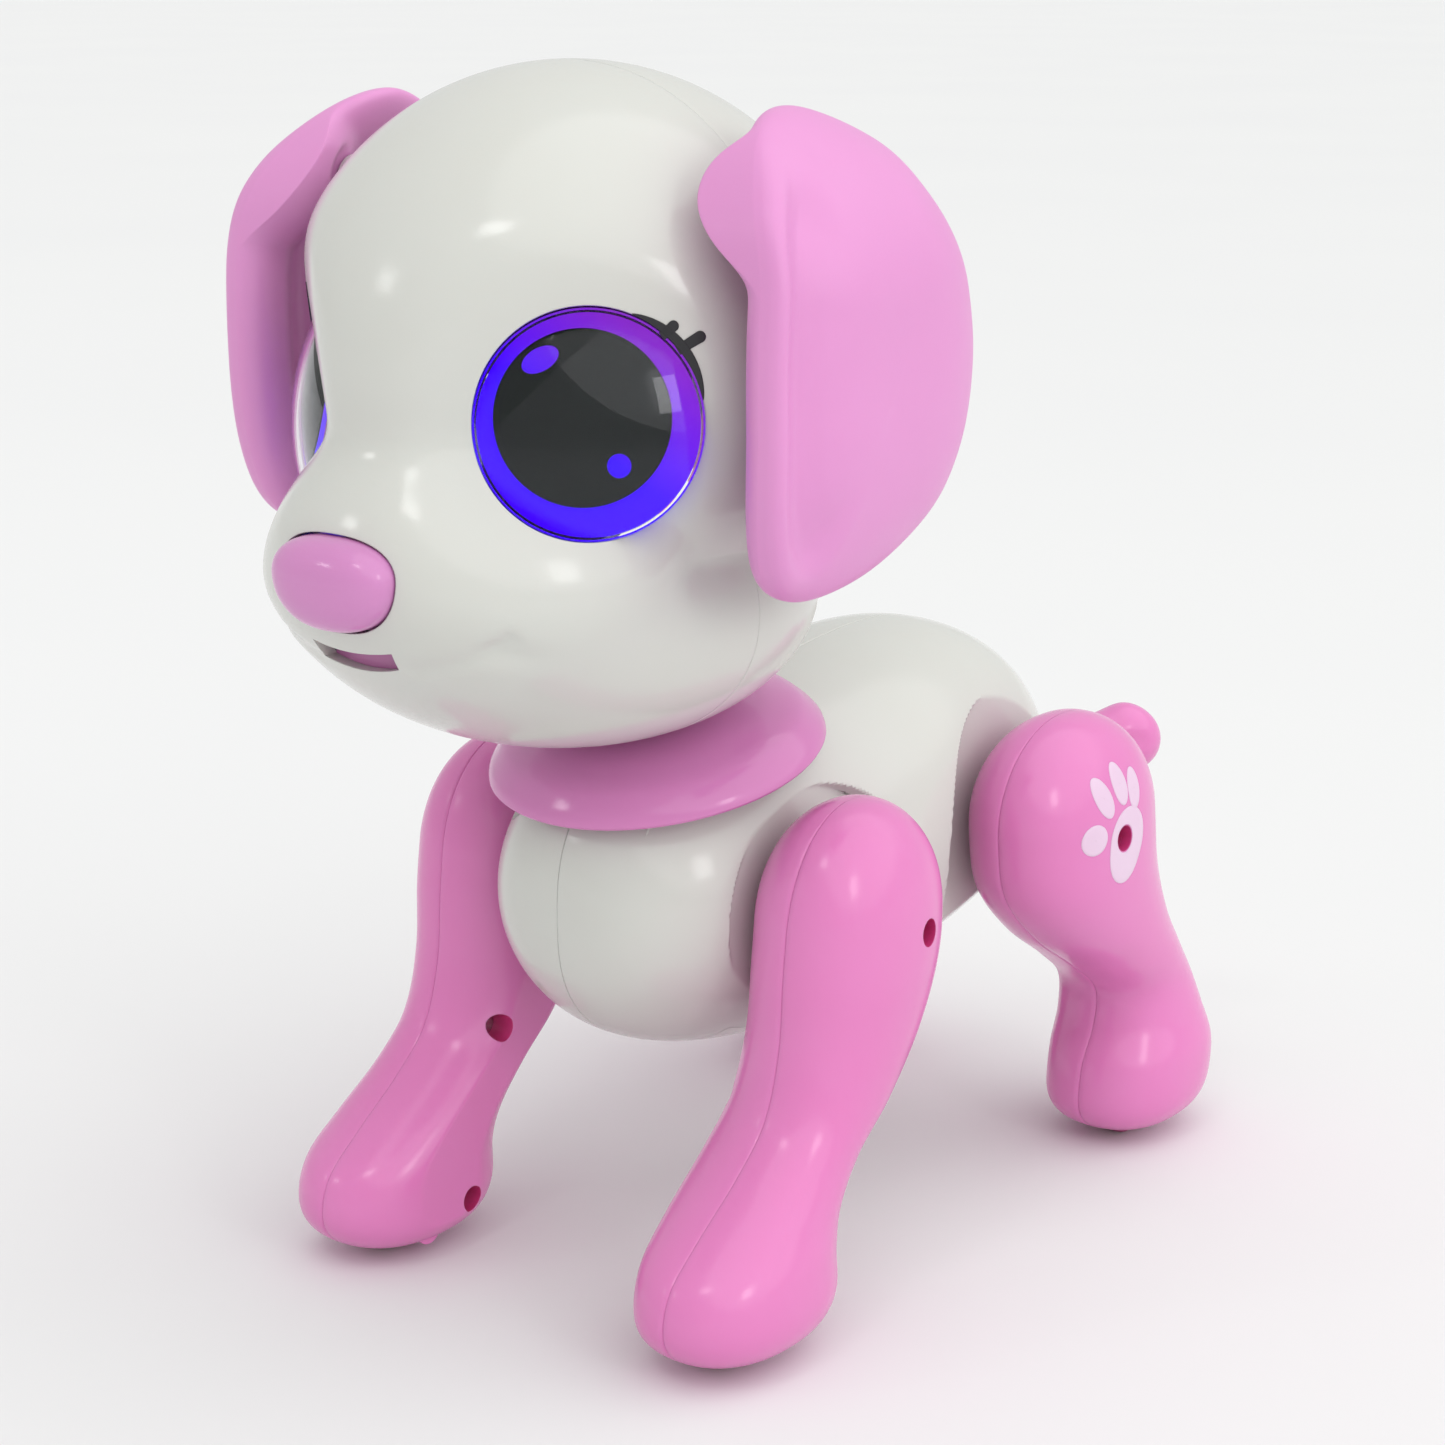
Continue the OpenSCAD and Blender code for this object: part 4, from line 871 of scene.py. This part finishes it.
def smile_depth(p):
    """How far the cheeks are pressed in along the smile crease, for surface points."""
    x, z = np.abs(p[..., 0]), p[..., 2]
    best = np.full(x.shape, 1e9)
    along = np.zeros(x.shape)
    for k, (a, b) in enumerate(zip(SMILE, SMILE[1:])):
        v = b - a
        t = np.clip(((x - a[0]) * v[0] + (z - a[1]) * v[1]) / (v @ v), 0, 1)
        gap = np.hypot(x - a[0] - t * v[0], z - a[1] - t * v[1])
        closer = gap < best
        best = np.where(closer, gap, best)
        along = np.where(closer, (k + t) / (len(SMILE) - 1), along)
    front = smooth(-70, -76, p[..., 1])
    crease = (0.35 + 0.4 * along) * np.exp(-(best / SMILE_WIDE) ** 2)
    dimple = 0.75 * np.exp(-(((x - 23.2) / 3.2) ** 2 + ((z - 120.6) / 1.9) ** 2))
    return front * (crease + dimple)


def head_skin(front):
    def skin(s, t):
        a, v = 180 * s, 180 * t - 90
        d = stack(front * cos_d(a) + 0 * v, -front * sin_d(a) * cos_d(v), sin_d(a) * sin_d(v))
        p = HEAD + head_reach(d)[..., None] * d
        return p - smile_depth(p)[..., None] * d
    return skin


def head_core(s):
    return HEAD + 0 * np.asarray(s, float)[..., None]


def eye_frame(side):
    """Middle of an eye and its directions: across to the outer side, up, and out."""
    turn = np.array(Matrix.Rotation(math.radians(side * EYE_TURN), 3, "Z")
                    @ Matrix.Rotation(math.radians(90 - EYE_LIFT), 3, "X"))
    return np.array([side * EYE_AT[0], *EYE_AT[1:]]), side * turn[:, 0], turn[:, 1], turn[:, 2]


def nose_point(t, k, add=0.0):
    """X and Z of the nose button's outline, t of the way round, scaled by k and grown by add."""
    a = 2 * math.pi * t
    v = spow(np.sin(a), 0.9)
    return (k * (11.2 + 1.3 * v) + add) * spow(np.cos(a), 0.86), (k * 7.1 + add) * v


def face_cut(x, z):
    return prism("cut", *(stack(x, y, z) for y in FACE_CUT_Y))


def eye_hole(side):
    centre, _, _, out = eye_frame(side)
    return rod(centre - 14 * out, centre + 16 * out, EYE_R + 0.02, 96)


def make_head():
    nose_x, nose_z = nose_point(np.linspace(0, 1, 96, endpoint=False), 1, NOSE_GAP)
    lip = np.linspace(-8, 8, 9)
    mouth_x = np.concatenate([lip, 0.94 * lip[::-1]])
    mouth_z = np.concatenate([1.6 + lip**2 / 80, -1.5 + lip[::-1] ** 2 / 60])
    face = half_shell("face", head_skin(1), head_core, *HEAD_GRID, lip=HEAD_LIP, seam=HEAD_SEAM)
    ear_y, ear_z = EAR_AXIS
    seats = [rod((s * 30, ear_y, ear_z), (s * 40.6, ear_y, ear_z), 4.4) for _, s in SIDES]
    combine(face, seats, "UNION")
    combine(face, [
        *(eye_hole(side) for _, side in SIDES), face_cut(nose_x, NOSE_Z + nose_z),
        face_cut(mouth_x, MOUTH_Z + mouth_z)])
    finish_piece(face, "face_skin", "head", "white_shell", WHITE, "face_shell")
    back = half_shell("back", head_skin(-1), head_core, *HEAD_GRID, lip=HEAD_LIP, seam=HEAD_SEAM)
    bosses = [fitted_boss("y", -43.4, x, z, HEAD_BOSS_R, back_of_head) for x, z in HEAD_SCREWS]
    combine(back, bosses, "UNION")
    combine(back, [
        *(rod((x, -36, z), (x, 16, z), SINK_R) for x, z in HEAD_SCREWS),
        rod((0, NECK_Y, 90), (0, NECK_Y, 106), 9), rod((0, NECK_Y, 90), (0, NECK_Y, 97.2), 10.4)])
    finish_piece(back, "back_head_skin", "head", "white_shell", WHITE, "back_head_shell")


# ---- Prints on the face ----
# How far a printed stroke stands over the skin and reaches under it.
STROKE_RISE, STROKE_DEPTH = 0.09, 0.2
# The liner's ends in degrees round the eye, its least and added half width.
LINER_FROM, LINER_TO, LINER_LEAST, LINER_MORE = 12, 68, 0.08, 0.62
# Lashes in the eye's plane: root, tip, half width.
LASHES = (((10.6, 12.6), (12.9, 14.6), 0.8), ((12.9, 10.6), (16.9, 13.0), 0.85))


def on_face(side, x, y, lift):
    """Points of the face at (x, y) in an eye's own plane, found along the eye's axis."""
    centre, across, up, out = eye_frame(side)
    start = centre + x[..., None] * across + y[..., None] * up
    return start + (head_surface(start, out, -25, 25) + lift)[..., None] * out


def stroke(name, side, spine, width, columns=9):
    """A printed stroke on the face: spine points in the eye's plane, with a half width at each."""
    way = np.gradient(spine, axis=0)
    way /= np.linalg.norm(way, axis=1, keepdims=True)
    share = np.linspace(-1, 1, columns) * width[:, None]
    x = spine[:, None, 0] - share * way[:, None, 1]
    y = spine[:, None, 1] + share * way[:, None, 0]
    top, under = on_face(side, x, y, STROKE_RISE), on_face(side, x, y, -STROKE_DEPTH)
    rows = len(spine)
    base = rows * columns
    faces = quads(rows, columns)
    faces += [tuple(base + v for v in reversed(f)) for f in faces]
    faces += rim_faces([
        *range(columns), *(i * columns + columns - 1 for i in range(1, rows)),
        *range(base - 2, base - columns - 1, -1),
        *(i * columns for i in range(rows - 2, 0, -1))], base)
    return new_object(name, np.concatenate([top.reshape(-1, 3), under.reshape(-1, 3)]), faces)


def make_lashes(name, side):
    angle = np.linspace(LINER_FROM, LINER_TO, 60)
    grow = np.sin(np.pi * (angle - LINER_FROM) / (LINER_TO - LINER_FROM)) ** 0.8
    thick = LINER_LEAST + LINER_MORE * grow
    r = EYE_R - 0.1 + thick
    liner = stroke("liner", side, np.stack([r * cos_d(angle), r * sin_d(angle)], 1), thick)
    finish_piece(liner, "eye_liner_" + name, "head", "black_plastic", INK)
    for k, (root, tip, half) in enumerate(LASHES):
        root, tip = np.array(root), np.array(tip)
        length = np.linalg.norm(tip - root)
        straight = length - half
        # Even steps to where the round tip begins, and finer ones round it.
        d = np.concatenate([np.linspace(0, straight, 12),
                            straight + half * np.sin(np.linspace(0.15, 1.52, 9))])
        past = np.maximum(0, d - straight) / half
        width = half * np.sqrt(np.maximum(0.004, 1 - past**2))
        width *= 0.85 + 0.15 * np.minimum(1, d / straight)
        lash = stroke("lash", side, root + d[:, None] * (tip - root) / length, width, 7)
        finish_piece(lash, f"eye_lash_{name}_{k + 1}", "head", "black_plastic", INK)


# ---- Eyes and nose ----
# The lens dome: its height, its ball's radius, the height of its edge, and its thickness.
LENS_RISE = 4.0
LENS_BALL = (EYE_R**2 + LENS_RISE**2) / (2 * LENS_RISE)
LENS_EDGE, LENS_THICK = 0.5, 1.0
# The lit dish behind the lens: its depth, how much it rises to its rim, and its underside.
DISH_DEPTH, DISH_RISE, DISH_UNDER = -1.6, 0.8, -3
# The pupil: its place in the eye's plane, its radius, and its two faces below the dome.
PUPIL_AT, PUPIL_R, PUPIL_DROPS = (-0.9, 1.0), 12.9, (1.3, 1.5)
# Windows in the pupil that the light shows through: place, half sizes, tilt in degrees.
WINDOWS = (((-6.9, 9.4), (2.9, 1.7), 28), ((4.3, -5.9), (1.75, 1.75), 0))
# The nose button from HEAD: where its crown starts, the crown's height and power, and its back.
NOSE_SIDE, NOSE_CROWN, NOSE_POWER, NOSE_BACK = 53.8, 6.4, 2.4, 46.2


def dome(r, drop):
    """Height of the lens dome above the eye's plane at radius r, lowered by drop."""
    return LENS_EDGE + LENS_RISE - drop - LENS_BALL + np.sqrt(LENS_BALL**2 - r**2)


def dome_profile(drop, radii):
    return [(dome(r, drop), r) for r in radii]


def make_eye(name, side):
    centre, across, up, out = eye_frame(side)
    lens = lathe("lens", [
        *dome_profile(0, np.linspace(0, EYE_R - 0.4, 40)), (0.5, EYE_R - 0.12),
        (0.15, EYE_R - 0.03), (-0.7, EYE_R - 0.03), (-0.7, EYE_R - 0.5),
        *dome_profile(LENS_THICK, np.linspace(EYE_R - 0.8, 0, 40))], centre, out, 128)
    finish_piece(lens, "eye_dome_" + name, "head", "clear_lens", LENS, "eye_lens_" + name)
    rim = EYE_R - 0.06
    dish = [(DISH_DEPTH + DISH_RISE * (r / rim) ** 3, r) for r in np.linspace(0, rim, 30)]
    cup = lathe("cup", dish + [(DISH_UNDER, rim), (DISH_UNDER, 0)], centre, out, 128)
    finish_piece(cup, "eye_light_" + name, "head", "violet_iris",
                 iris_material("lit_iris_" + name, side), "iris_" + name)
    front, back = PUPIL_DROPS
    pupil = lathe("pupil", [
        *dome_profile(front, np.linspace(0, PUPIL_R, 30)),
        *dome_profile(back, np.linspace(PUPIL_R, 0, 20))],
        centre + PUPIL_AT[0] * across + PUPIL_AT[1] * up, out, 128)
    windows = []
    turn = np.linspace(0, 2 * math.pi, 40, endpoint=False)
    for at, half, tilt in WINDOWS:
        u, v = half[0] * np.cos(turn), half[1] * np.sin(turn)
        x = at[0] + u * cos_d(tilt) - v * sin_d(tilt)
        y = at[1] + u * sin_d(tilt) + v * cos_d(tilt)
        low = centre + x[:, None] * across + y[:, None] * up - 3 * out
        windows.append(prism("window", low, low + 10 * out))
    combine(pupil, windows)
    finish_piece(pupil, "pupil_print_" + name, "head", "black_plastic", PUPIL)


def make_nose():
    k = np.concatenate([
        np.linspace(0, 0.9, 26)[1:], [0.92, 0.94, 0.96, 0.975, 0.985, 0.993, 0.998, 1.0]])
    crown = NOSE_SIDE + NOSE_CROWN * np.maximum(0, 1 - k**NOSE_POWER) ** (1 / NOSE_POWER)
    # Then the straight side and the flange behind the face.
    k = np.concatenate([k, [1, 1, 1.17, 1.17]])[:, None]
    stand = np.concatenate([crown, [50, 47.6, 47.4, NOSE_BACK]])[:, None]
    x, z = nose_point(np.linspace(0, 1, 112, endpoint=False)[None, :], k)
    grid = stack(x, HEAD[1] - stand, NOSE_Z + z)
    front, back = (np.array([0, HEAD[1] - reach, NOSE_Z])
                   for reach in (NOSE_SIDE + NOSE_CROWN, NOSE_BACK))
    nose = closed_skin("nose", grid, front, back)
    finish_piece(nose, "nose_cap", "nose", "lilac_trim", NOSE_LILAC, "nose_button")


# ---- Ears ----
# The ear's pin and middle at (y, z), and its outline from HEAD as (y, z).
EAR_AXIS = (-49.5, 183.0)
EAR_MID = (-37.5, 162.0)
EAR_OUTLINE = np.array([
    [2, 47.5], [16, 42.5], [22.5, 35], [27.5, 25], [30.5, 13], [30.2, 3], [27.5, -7], [22, -15],
    [11, -21.3], [0, -24], [-10, -23.7], [-17.5, -19.5], [-21, -10], [-22, 6], [-21.5, 22],
    [-19, 34], [-10, 44]])
# Height of the ear's outer face over its middle surface on the front side: share of the way out
# to the edge, height. It rolls up into a rim near the edge.
EAR_FRONT = [
    [0, 6.6], [0.3, 6.55], [0.5, 6.0], [0.64, 4.8], [0.74, 3.3], [0.81, 2.55], [0.87, 2.95],
    [0.93, 3.6], [0.972, 3.0], [0.992, 1.7], [1, 0]]
EAR_THICK = 6.6
# The inner face bulges towards the edge and is hollowed in the middle.
DISH_OUT, DISH_IN = 7.2, 4.4
# The root: a rounded lobe at (y, z) on the inner side that hides the ear's pin, with its least X.
ROOT_AT, ROOT_X, ROOT_REACH = (-57.5, 186.5), 37.8, 24


def ear_edge(t):
    """The ear's outline as a closed smooth curve through its points, t of the way round."""
    n = len(EAR_OUTLINE)
    k = t * n
    i = np.floor(k).astype(int)
    f = (k - i)[..., None]
    p = [EAR_OUTLINE[(i + j) % n] for j in (-1, 0, 1, 2)]
    return 0.5 * (2 * p[1] + (p[2] - p[0]) * f + (2 * p[0] - 5 * p[1] + 4 * p[2] - p[3]) * f**2
                  + (3 * p[1] - p[0] - 3 * p[2] + p[3]) * f**3)


def ear_lean(z):
    """X of the ear's middle surface, which leans in at the top and the bottom."""
    h = z - HEAD[2]
    return 52.6 - 0.0165 * np.maximum(0, h - 20) ** 2 - 0.004 * np.maximum(0, 5 - h) ** 2


def make_ear(name, side):
    s = np.linspace(0, 1, 181)[1:-1, None]
    t = np.linspace(0, 1, 260, endpoint=False)[None, :]
    a = 90 - 180 * s
    edge = ear_edge(t) + HEAD[1:]
    c = np.maximum(0, cos_d(a)) ** 0.75
    y = EAR_MID[0] + (edge[..., 0] - EAR_MID[0]) * c
    z = EAR_MID[1] + (edge[..., 1] - EAR_MID[1]) * c
    plain = EAR_THICK * np.maximum(0, sin_d(a)) ** 0.9
    rolled = curve(EAR_FRONT, c + 0 * t)[..., 1]
    front = smooth(-9, -17, edge[..., 0] - HEAD[1]) * smooth(205, 186, edge[..., 1])
    outer = plain + front * (rolled - plain)
    dish = DISH_OUT * smooth(45, 76, -a) - DISH_IN * sin_d(np.minimum(90, -2.2 * a))
    x = ear_lean(z) + np.where(a > 0, outer, dish)
    gap = np.hypot(y - ROOT_AT[0], z - ROOT_AT[1])
    pin = np.hypot(y - EAR_AXIS[0], z - EAR_AXIS[1])
    lobe = np.maximum(ROOT_X + 11 * (gap / 13) ** 2.2, 41.1 - 3 * smooth(5.2, 8.5, pin))
    x = np.where((a < 0) & (gap < ROOT_REACH), soft_min(x, lobe, 4.0), x)
    top, low = (np.array([side * (ear_lean(EAR_MID[1]) + height), *EAR_MID])
                for height in (EAR_THICK, DISH_OUT - DISH_IN))
    ear = closed_skin("ear", stack(side * x, y, z), top, low)
    smoothing = ear.modifiers.new("smooth", "SMOOTH")
    smoothing.factor, smoothing.iterations = 0.5, 5
    bake_modifiers(ear)
    finish_piece(ear, "ear_flap_" + name, "ear_" + name, "pink_ear", EAR_PINK, "ear_" + name,
                 sharp=60)


# ---- The rest of the CAD parts ----
def dress_cad():
    """Gives every CAD part that stays in view its own finish."""
    looks = {
        "steel": STEEL, "cream_plastic": CREAM, "black_plastic": BLACK, "circuit_board": GREEN,
        "cell_label": CELL, "lilac_trim": LILAC_TRIM}
    by_node = {row["node"]: row["material_slot"] for row in frame["record"]["subparts"]}
    for name, obj in NODES.items():
        if obj.hide_render:
            continue
        obj.data.materials.clear()
        obj.data.materials.append(looks.get(by_node.get(name), CREAM))


WHITE = plastic("white_gloss_abs", (0.62, 0.625, 0.59), 0.16, tint=(0.605, 0.60, 0.55), soften=0.08)
PINK = plastic("bubble_pink_abs", (0.72, 0.215, 0.50), 0.2, tint=(0.71, 0.17, 0.45))
# The screw wells' darker, deeper pink is painted shade of the deep recesses, not a colour of the
# plastic.
WELL_SHADE_PINK = plastic("pink_well_painted_shade", (0.62, 0.05, 0.22), 0.35, tint=(0.55, 0.03, 0.16))
EAR_PINK = plastic("satin_pink_ear", (0.72, 0.285, 0.59), 0.4, bump=0.2, grain=2200)
LILAC_TRIM = plastic("lilac_gloss", (0.64, 0.215, 0.49), 0.15, soften=0.1)
NOSE_LILAC = plastic("nose_lilac", (0.62, 0.245, 0.52), 0.16, soften=0.1)
RUBBER = plastic("roller_dark_pink", (0.38, 0.05, 0.17), 0.45, soften=0, bump=0.5, grain=1800)
PRINT = plastic("white_ink", (0.78, 0.58, 0.74), 0.32, soften=0.1, tint=(0.76, 0.46, 0.67))
INK = plastic("lash_ink", (0.012, 0.012, 0.015), 0.35, soften=0)
PUPIL = plastic("pupil_ink", (0.010, 0.014, 0.013), 0.12, soften=0, bump=0.02, gloss=0.15)
STEEL = plastic("steel_parts", (0.62, 0.63, 0.65), 0.28, soften=0, metal=1.0, grain=2600)
CREAM = plastic("cream_acetal", (0.80, 0.74, 0.56), 0.35)
BLACK = plastic("black_moulding", (0.03, 0.03, 0.035), 0.4, soften=0)
GREEN = plastic("circuit_green", (0.03, 0.20, 0.08), 0.4, soften=0, tint=(0.05, 0.28, 0.12))
CELL = plastic("cell_sleeve", (0.06, 0.20, 0.10), 0.3, soften=0)
LENS = lens_material()

make_camera()
make_studio()
make_body()
for end_name in ("front", "rear"):
    for side_name, sign in SIDES:
        make_leg(end_name, side_name, sign)
make_tail()
make_collar()
make_head()
make_nose()
for side_name, sign in SIDES:
    make_eye(side_name, sign)
    make_lashes(side_name, sign)
    make_ear(side_name, sign)
dress_cad()
